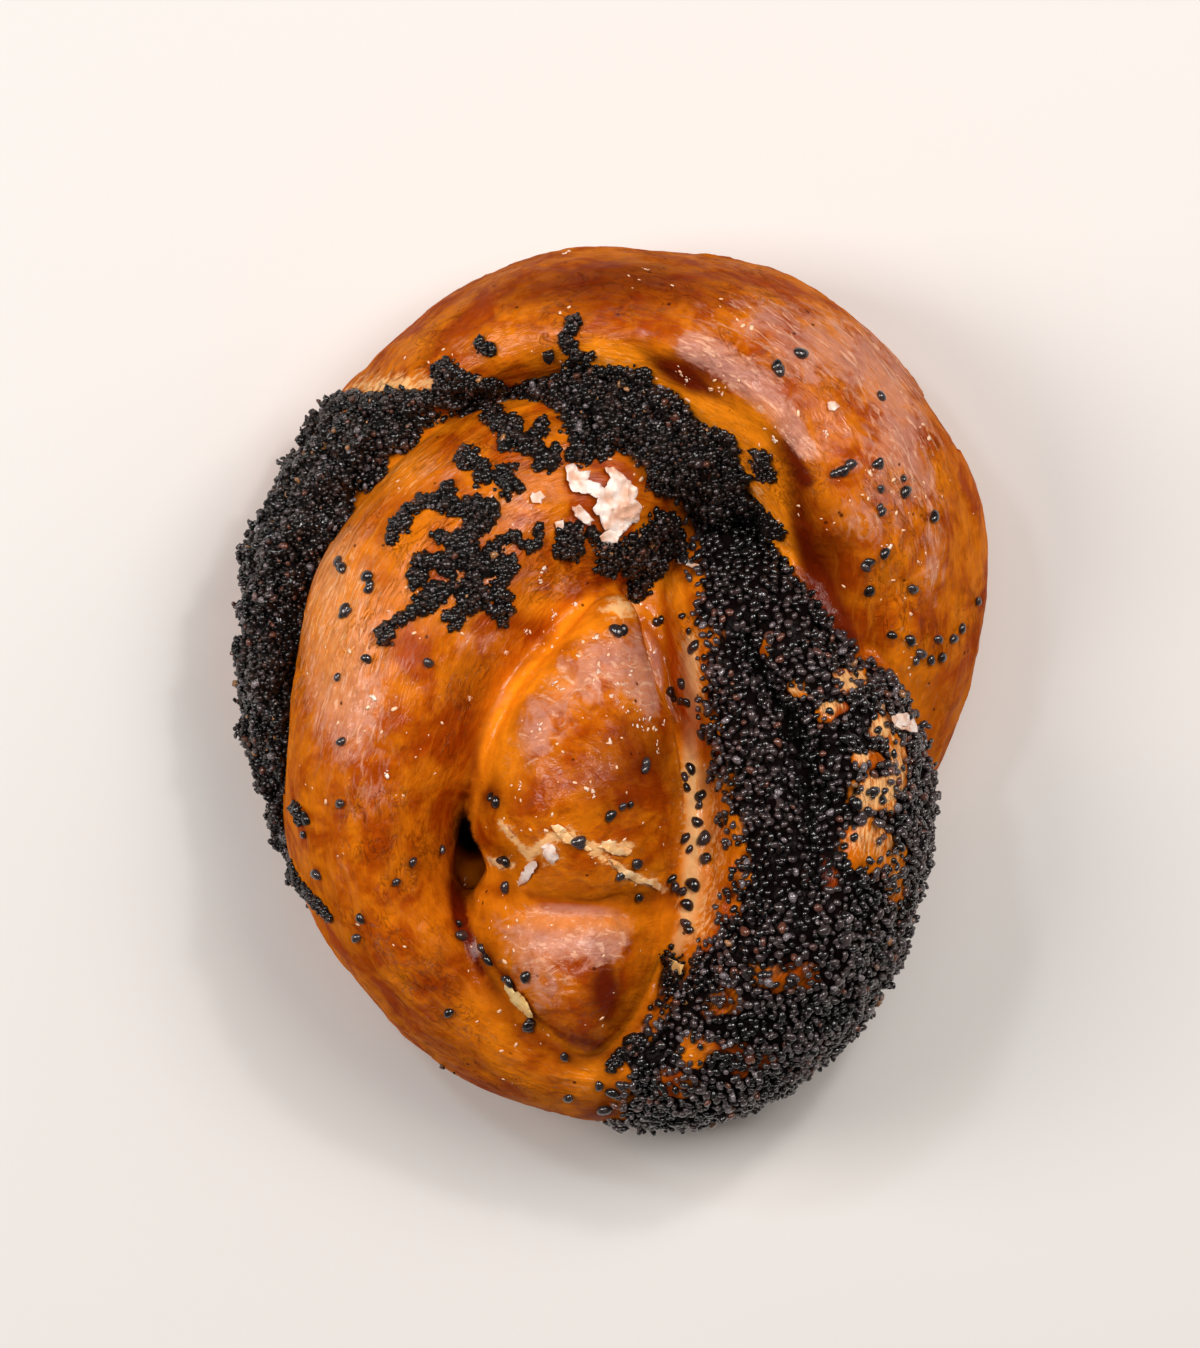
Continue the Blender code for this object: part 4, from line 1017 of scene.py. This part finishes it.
# Clumps of filling that lie on the dough: reach in pixels, pixels of a line
CLUMPS = (
    (9, (492, 414, 502, 426, 508, 436, 524, 444, 536, 450, 550, 460)), (6, (506, 443, 504, 446)),
    (7, (513, 420, 518, 434)), (7, (536, 436, 542, 426)), (5, (556, 450, 553, 462, 536, 466)),
    (10, (468, 455)), (7, (461, 461, 476, 463, 483, 467)), (10, (507, 478)), (8, (503, 487, 513, 487)),
    (5, (497, 474, 488, 476, 480, 480)), (5, (392, 542, 392, 533)), (7, (394, 530, 402, 521, 410, 512)),
    (6, (412, 509, 420, 503, 434, 502)), (5, (450, 486, 445, 493)),
    (9, (440, 503, 452, 507, 466, 512, 482, 514)), (7, (470, 503, 492, 504, 490, 518)),
    (10, (478, 522, 468, 532, 468, 546)), (5, (437, 536, 447, 539, 458, 538)),
    (8, (456, 550, 448, 560, 448, 568)), (10, (468, 552, 474, 564, 474, 578, 472, 592, 466, 604)),
    (9, (462, 562, 484, 566, 494, 562)), (7, (490, 550, 497, 543)), (8, (500, 566, 502, 578, 497, 588)),
    (5, (510, 560, 514, 568, 508, 576)), (8, (420, 560, 430, 564, 440, 560)),
    (6, (412, 572, 424, 577, 415, 582)), (9, (482, 594, 474, 602, 462, 610)), (7, (454, 616, 447, 616)),
    (5, (457, 624, 452, 626)), (5, (486, 604)), (8, (497, 594, 506, 598)), (8, (498, 612, 506, 610)),
    (6, (502, 620)), (6, (457, 586, 446, 588, 438, 586)), (9, (432, 592, 424, 602)),
    (7, (440, 598, 432, 605, 418, 606)), (5, (414, 612, 404, 618, 394, 622)),
    (6, (388, 628, 388, 640, 384, 632)), (4, (502, 540, 512, 536, 520, 543, 530, 547, 538, 541, 538, 531)),
    (11, (566, 541)), (9, (560, 550, 573, 552, 578, 544)), (7, (566, 530, 575, 530)),
    (4, (590, 530, 597, 538)), (10, (606, 546, 613, 556, 608, 568)), (13, (626, 552, 642, 556, 658, 556)),
    (10, (640, 540, 652, 528, 664, 516, 672, 522)), (9, (676, 536, 668, 548, 680, 552)),
    (8, (632, 570, 640, 582, 634, 592)), (7, (650, 575, 660, 568)), (5, (645, 594)),
    (14, (575, 378, 592, 388, 582, 405, 574, 418, 584, 438)), (9, (572, 455, 590, 452, 600, 456)),
    (12, (612, 388, 610, 408, 614, 424, 608, 440)), (11, (640, 380, 636, 400, 640, 420, 636, 440)),
    (10, (656, 440, 668, 452, 690, 440)), (12, (655, 470, 660, 485, 680, 478)),
    (9, (700, 440, 716, 446, 730, 456)), (9, (725, 485, 740, 478)), (8, (745, 505, 760, 520, 776, 530)),
    (8, (446, 364, 456, 374, 440, 368)), (5, (480, 345, 490, 352)), (7, (576, 326)),
    (6, (566, 336, 570, 348, 578, 352)), (5, (548, 355)), (4, (590, 356)),
    (8, (338, 402, 356, 400, 374, 401, 392, 398, 410, 399, 428, 396)), (10, (400, 406, 424, 402, 446, 396)),
    (8, (440, 386, 470, 382, 500, 386)), (10, (320, 410, 314, 424, 306, 440)),
    (9, (332, 410, 338, 422, 326, 432)), (8, (370, 410, 392, 412)), (8, (560, 380, 600, 373, 640, 376)),
    (6, (650, 392, 670, 412, 690, 428)), (6, (705, 436, 725, 434, 735, 446)), (8, (762, 458, 766, 472)),
    (5, (750, 500, 770, 520, 782, 534)), (5, (296, 806, 303, 820)),
    (4, (288, 865, 298, 882, 312, 897, 330, 918)), (4, (440, 1070, 452, 1076)),
    (8, (668, 957, 676, 966, 668, 984)), (6, (640, 1040, 622, 1053, 612, 1066)),
)


def clods():
    """(pixel x, pixel y, reach) of the clods that make up the clumps."""
    for reach, line in CLUMPS:
        line = pairs(line)
        for a, b in zip(line, np.roll(line, -1, axis=0)):
            last = np.array_equal(a, line[-1])
            pieces = 1 if last else max(round(float(np.hypot(*(b - a))) / (0.8 * reach)), 1)
            for i in range(pieces):
                x, y = a + (b - a) * i / pieces + rng.normal(0, 0.14 * reach, 2)
                yield x, y, reach * (0.7 + 0.5 * rng.random())


def clump_spots(per_mm2, low, high, spill):
    """Points, normals and heights inside the clods, piled from `low` to `high` of their thickness."""
    found, facing, heights = [], [], []
    for x, y, reach in clods():
        for _ in range(math.ceil(math.pi * (reach / PX_PER_MM) ** 2 * per_mm2)):
            out, turn = spill * math.sqrt(rng.random()), rng.random() * math.tau
            ragged = 0.9 + 0.6 * noise.noise(Vector((x + 2 * math.cos(turn), y + 2 * math.sin(turn), 0.5)))
            away = reach * out * ragged
            point, normal = seen(x + away * math.cos(turn), y + away * math.sin(turn))
            if point is None:
                continue
            normal = (normal + Vector((0, 0, 0.5))).normalized()
            rise = max(1 - out * out, 0) * (low + (high - low) * rng.random())
            found.append(point + normal * 0.2 * reach * rise)
            facing.append(normal)
            heights.append(rise)
    return np.array(found), np.array(facing), np.array(heights)


# The core crumbs are nearly black, painted shade under the crumbs on top
at, facing, _ = clump_spots(3.0, 0.0, 0.5, 0.9)
made = grains("clump_core", CRUMB, at, facing, 1.2, 0.1, 1.0, 0.2, 0.1 * rng.random(len(at)))
dress(made, crumb_look, "poppy_filling")
at, facing, height = clump_spots(18.0, 0.1, 1.0, 1.15)
kept = thinned(at, 0.43)
at, facing, height = at[kept], facing[kept], height[kept]
tint = clod_tint(at, 14, 1.1 * height - 0.1, 0.22)
made = grains("clump_crumbs", CRUMB, at, facing, 0.64, 0.1, 1.0, 0.38, tint)
dress(made, crumb_look, "poppy_filling")

found = [seen(x + rng.normal(0, 0.5), y + rng.normal(0, 0.5)) for x, y in LOOSE]
at, facing = np.array(found).transpose(1, 0, 2)
made = grains("loose_seeds", FINE_SEED, at, facing, 1.55, 0.3, 0.3, tint=rng.random(len(at)) * 0.45)
dress(made, seed_look, "dough")


# ---------------------------------------------------------------- flakes, torn crust, painted glints

def flake_material(name, light, dark, rough, sheen):
    n = Nodes(name)
    grain = n.noise(n.coords, 1400.0, 4.0, 0.6)
    wide = n.noise(n.coords, 420.0, 2.0)
    colour = n.mix(n.ramp(wide, 0.35, 0.65), light, dark)
    n.set(Base_Color=colour, Roughness=rough, Normal=n.bump(grain, 0.00012))
    n.set(Coat_Weight=sheen, Coat_Roughness=0.3)
    n.set(Subsurface_Weight=0.2, Subsurface_Scale=0.001, Subsurface_Radius=(1.0, 0.7, 0.5))
    return n.material


EDGE_GAP, INNER_GAP = 3.0, 2.6  # pixels between a sheet's points along its edge and inside it
RAGGED = 0.9  # how far its edge strays, in pixels
CRUMPLE = 0.35  # how high it stands up


def sheet(name, look, lift, outline):
    """A thin ragged sheet over the bun, with an outline in pixels."""
    thick = 0.2 if lift > 0.3 else 0.12
    ring = []
    outline = pairs(outline)
    for a, b in zip(outline, np.roll(outline, -1, axis=0)):
        pieces = max(int(np.hypot(*(b - a)) / EDGE_GAP), 1)
        for i in range(pieces):
            ring.append(a + (b - a) * i / pieces + rng.normal(0, RAGGED, 2) * (i > 0))
    ring = np.array(ring)
    low, high = ring.min(axis=0), ring.max(axis=0)
    inner = [
        (x + rng.normal(0, 0.4), y + rng.normal(0, 0.4))
        for x in np.arange(low[0], high[0], INNER_GAP)
        for y in np.arange(low[1], high[1], INNER_GAP)
    ]
    flat = [Vector(p) for p in [*ring, *inner]]
    loop = [(i, (i + 1) % len(ring)) for i in range(len(ring))]
    verts, _, faces, *_ = delaunay_2d_cdt(flat, loop, [], 1, 1e-4)
    used = sorted({i for f in faces for i in f})
    renumber = {old: new for new, old in enumerate(used)}
    faces = [tuple(renumber[i] for i in f) for f in faces]
    top, under = [], []
    for i in used:
        point, normal = seen(verts[i].x, verts[i].y)
        normal = (normal + Vector((0, 0, 2.0))).normalized()
        where = Vector((verts[i].x, verts[i].y, 3.0))
        rise = lift + CRUMPLE * (0.6 + noise.noise(where / 9.0) + 0.7 * noise.noise(where / 3.7))
        top.append(point + normal * (rise + thick * (0.25 if i < len(ring) else 1.0)))
        under.append(point + normal * rise)
    count = len(top)
    sides = {(a, b): True for f in faces for a, b in zip(f, f[1:] + f[:1])}
    triangles = faces + [tuple(i + count for i in f[::-1]) for f in faces]
    for a, b in sides:
        if (b, a) not in sides:
            triangles += [(b, a, a + count), (b, a + count, b + count)]
    obj = new_object(name, np.array(top + under) + PLAN_SHIFT, [np.array(triangles)])
    recalculate(obj.data)
    obj.data.set_sharp_from_angle(angle=0.7)
    dress(obj, look, "dough")


white_look = flake_material("torn_flake", srgb(244, 224, 212), srgb(214, 162, 134), 0.6, 0.2)
pale_look = flake_material("torn_crust", srgb(246, 206, 156), srgb(234, 166, 96), 0.5, 0.4)
glaze_highlight_look = flake_material("dried_glaze_highlight", srgb(250, 226, 206), srgb(236, 176, 134), 0.3, 1.0)
crumb_pale = flake_material("crumb", srgb(240, 206, 140), srgb(226, 178, 104), 0.7, 0.0)
# Sheets: name, look, height over the bun, and the pixels of the outline
FLAKES = (
    ("flake_main", white_look, 0.5, (565, 466, 573, 464, 580, 472, 590, 471, 587, 480, 604, 488, 610, 478,
        604, 468, 613, 467, 622, 474, 630, 481, 637, 489, 634, 499, 640, 508, 638, 520, 629, 526, 622, 532,
        616, 537, 604, 530, 600, 520, 592, 508, 597, 497, 584, 494, 572, 492, 566, 480)),
    ("flake_left", white_look, 0.55, (571, 506, 578, 504, 586, 512, 594, 520, 590, 525, 582, 522,
        574, 515)),
    ("flake_foot", white_look, 0.7, (599, 536, 608, 530, 618, 533, 616, 541, 607, 543, 601, 541)),
    ("flake_chip_1", white_look, 0.35, (532, 492, 540, 491, 545, 497, 541, 504, 533, 503, 530, 497)),
    ("flake_chip_2", white_look, 0.4, (554, 522, 562, 520, 563, 528, 556, 530)),
    ("flake_chip_3", white_look, 0.5, (679, 560, 690, 561, 700, 565, 699, 569, 688, 567, 680, 565)),
    ("flake_chip_4", white_look, 0.4, (827, 403, 834, 402, 839, 407, 834, 411, 828, 409)),
    ("flake_chip_5", white_look, 1.5, (887, 719, 894, 713, 903, 714, 909, 722, 911, 733, 904, 733, 897, 729,
        889, 728)),
    ("torn_1", pale_look, 0.06, (501, 823, 505, 825, 511, 830, 516, 836, 510, 838, 505, 832)),
    ("torn_2", pale_look, 0.05, (551, 825, 558, 824, 566, 828, 572, 836, 580, 845, 592, 849, 584, 850,
        572, 844, 563, 842)),
    ("torn_3", pale_look, 0.05, (602, 841, 610, 839, 617, 840, 615, 846, 624, 850, 632, 849, 626, 856,
        612, 854, 604, 849, 596, 847)),
    ("torn_4", white_look, 0.06, (530, 862, 537, 860, 538, 866, 531, 876, 525, 884, 518, 886, 521, 874)),
    ("torn_5", pale_look, 0.05, (488, 857, 495, 858, 500, 864, 508, 866, 499, 869, 493, 865)),
    ("torn_6", white_look, 0.04, (541, 846, 549, 842, 556, 848, 559, 858, 552, 864, 545, 856)),
    ("torn_7", pale_look, 0.05, (608, 858, 618, 861, 626, 869, 640, 876, 652, 878, 661, 884, 658, 890,
        648, 884, 634, 881, 620, 874, 613, 866)),
    ("crumb_sliver", crumb_pale, 0.5, (506, 983, 514, 987, 523, 995, 531, 1006, 534, 1016, 527, 1013,
        517, 1005, 509, 993)),
    ("crumb_chip", crumb_pale, 0.9, (670, 957, 678, 960, 686, 965, 684, 972, 677, 973, 672, 966)),
)
for row in FLAKES:
    sheet(*row)

# Lines of small pale flecks of dried glaze, whose paleness is painted highlight: reach, and a line, in
# pixels
STREAKS = (
    (2.4, (627, 690, 631, 699, 637, 711)), (2.2, (609, 695, 617, 701, 628, 711)),
    (1.6, (616, 685, 624, 684)), (2.4, (634, 725, 643, 730, 655, 731, 663, 722)),
    (1.5, (640, 720, 650, 719)), (2.6, (553, 681, 556, 686, 561, 690)), (2.6, (648, 653, 650, 659)),
    (1.6, (592, 639, 598, 637)), (2.6, (537, 724, 540, 728)), (1.9, (585, 784, 590, 790, 595, 796)),
    (2, (518, 788, 522, 783)), (2.2, (677, 368, 681, 375)), (2, (685, 383, 689, 379)),
    (1.9, (710, 388, 713, 390)), (1.8, (719, 389, 722, 394)), (2.4, (737, 470, 738, 476)),
    (2, (774, 439, 775, 442)), (2, (540, 571, 545, 568)), (2, (540, 579, 542, 582)),
    (2.2, (524, 629, 527, 632)), (1.7, (553, 611, 555, 616)), (2.2, (574, 603, 576, 606)),
    (1.4, (630, 661, 630, 674)), (1.4, (599, 663, 599, 672)), (1.3, (657, 741, 658, 752)),
    (1.9, (608, 744, 611, 742)), (1.8, (505, 650, 506, 653)), (1.8, (468, 696, 470, 699)),
    (1.9, (822, 431, 827, 434)), (1.8, (867, 471, 871, 473)), (1.7, (882, 546, 888, 547)),
    (1.8, (917, 561, 920, 564)), (1.7, (563, 254, 568, 253)), (1.6, (643, 269, 648, 270)),
    (1.9, (386, 772, 388, 776)), (1.8, (372, 696, 374, 700)),
)
flecks = []
for width, line in STREAKS:
    line = pairs(line)
    for a, b in zip(line, [*line[1:], line[-1]]):
        for share in np.arange(0, 1, 0.34):
            flecks.append(seen(*(a + share * (b - a) + rng.normal(0, 0.6 * width, 2))))
at, facing = np.array(flecks).transpose(1, 0, 2)
made = grains("glaze_highlight_flecks", CHIP, at, facing, 0.42, 0.05, 0.3, 0.45)
dress(made, glaze_highlight_look, "dough")

# Small pale chips on the upward bare crust, painted glints
glint = Nodes("glint")
speckle = glint.noise(glint.coords, 900.0)
glint.set(Base_Color=glint.mix(speckle, srgb(246, 214, 180), srgb(226, 158, 104)), Roughness=0.3)
glint.set(Coat_Weight=0.6, Coat_Roughness=0.1)
weight = bare_dough * step(0.3, 0.7, dough_normals[:, 2]) * step(-0.1, 0.4, field(spots, 7.0, 21))
at, facing = on_dough(weight, per_mm2=0.16, spacing=0.9)
made = grains("painted_glint_chips", CHIP, at, facing, 0.46, 0.03, 0.15, 0.4)
dress(made, glint.material, "dough")


# ---------------------------------------------------------------- floor, light, camera

SENSOR = 36.0  # side of the camera's sensor
# Softboxes: name, direction, distance in metres, size in metres, power in watts, colour
LIGHTS = (
    ("key", (0.36, 0.30, 0.89), 0.75, (0.36, 0.36), 3.5, (1.0, 0.95, 0.90)),
    ("rim", (0.72, 0.36, 0.60), 0.75, (0.34, 0.34), 1.0, (1.0, 0.92, 0.88)),
    ("left", (-0.70, 0.10, 0.75), 0.70, (0.25, 0.45), 3.4, (1.0, 0.95, 0.91)),
    ("top", (-0.05, 0.2, 1.0), 0.90, (0.3, 0.3), 0.8, (1.0, 0.96, 0.94)),
    ("sparkle", (0.30, 0.42, 0.85), 0.80, (0.06, 0.06), 1.1, (1.0, 0.97, 0.95)),
    ("cool_sparkle", (-0.34, 0.36, 0.87), 0.80, (0.07, 0.07), 0.8, (0.78, 0.88, 1.0)),
)


def placed_object(name, data, location):
    obj = bpy.data.objects.new(name, data)
    obj.location = location
    bpy.context.scene.collection.objects.link(obj)
    return obj


def softbox(name, towards, distance, size, power, colour):
    """An area light that faces a point 30 mm above the tray."""
    data = bpy.data.lights.new(name, "AREA")
    data.shape = "RECTANGLE"
    data.size, data.size_y = size
    data.energy = power
    data.color = colour
    direction = Vector(towards).normalized()
    light = placed_object(name, data, direction * distance + Vector((0, 0, 0.03)))
    light.rotation_euler = direction.to_track_quat("Z", "Y").to_euler()


def build_stage():
    bpy.ops.mesh.primitive_plane_add(size=6.0, location=(0, 0, 0))
    floor = bpy.context.object
    floor.name = "floor"
    n = Nodes("floor")
    n.set(Base_Color=(0.64, 0.62, 0.60), Roughness=0.7)
    floor.data.materials.append(n.material)
    world = bpy.data.worlds.new("studio")
    world.use_nodes = True
    background = world.node_tree.nodes["Background"]
    background.inputs["Color"].default_value = (1.0, 0.97, 0.94, 1.0)
    background.inputs["Strength"].default_value = 0.07
    bpy.context.scene.world = world
    for row in LIGHTS:
        softbox(*row)

    data = bpy.data.cameras.new("camera")
    data.sensor_width = data.sensor_height = SENSOR
    data.sensor_fit = "AUTO"
    data.clip_start, data.clip_end = 0.05, 20.0
    data.lens = SENSOR * (EYE.z - LEVEL) / (FRAME_HEIGHT / PX_PER_MM)
    camera = placed_object("camera", data, (EYE + Vector(PLAN_SHIFT)) * MM)
    bpy.context.scene.camera = camera
    bpy.context.scene.view_settings.view_transform = "Standard"


build_stage()
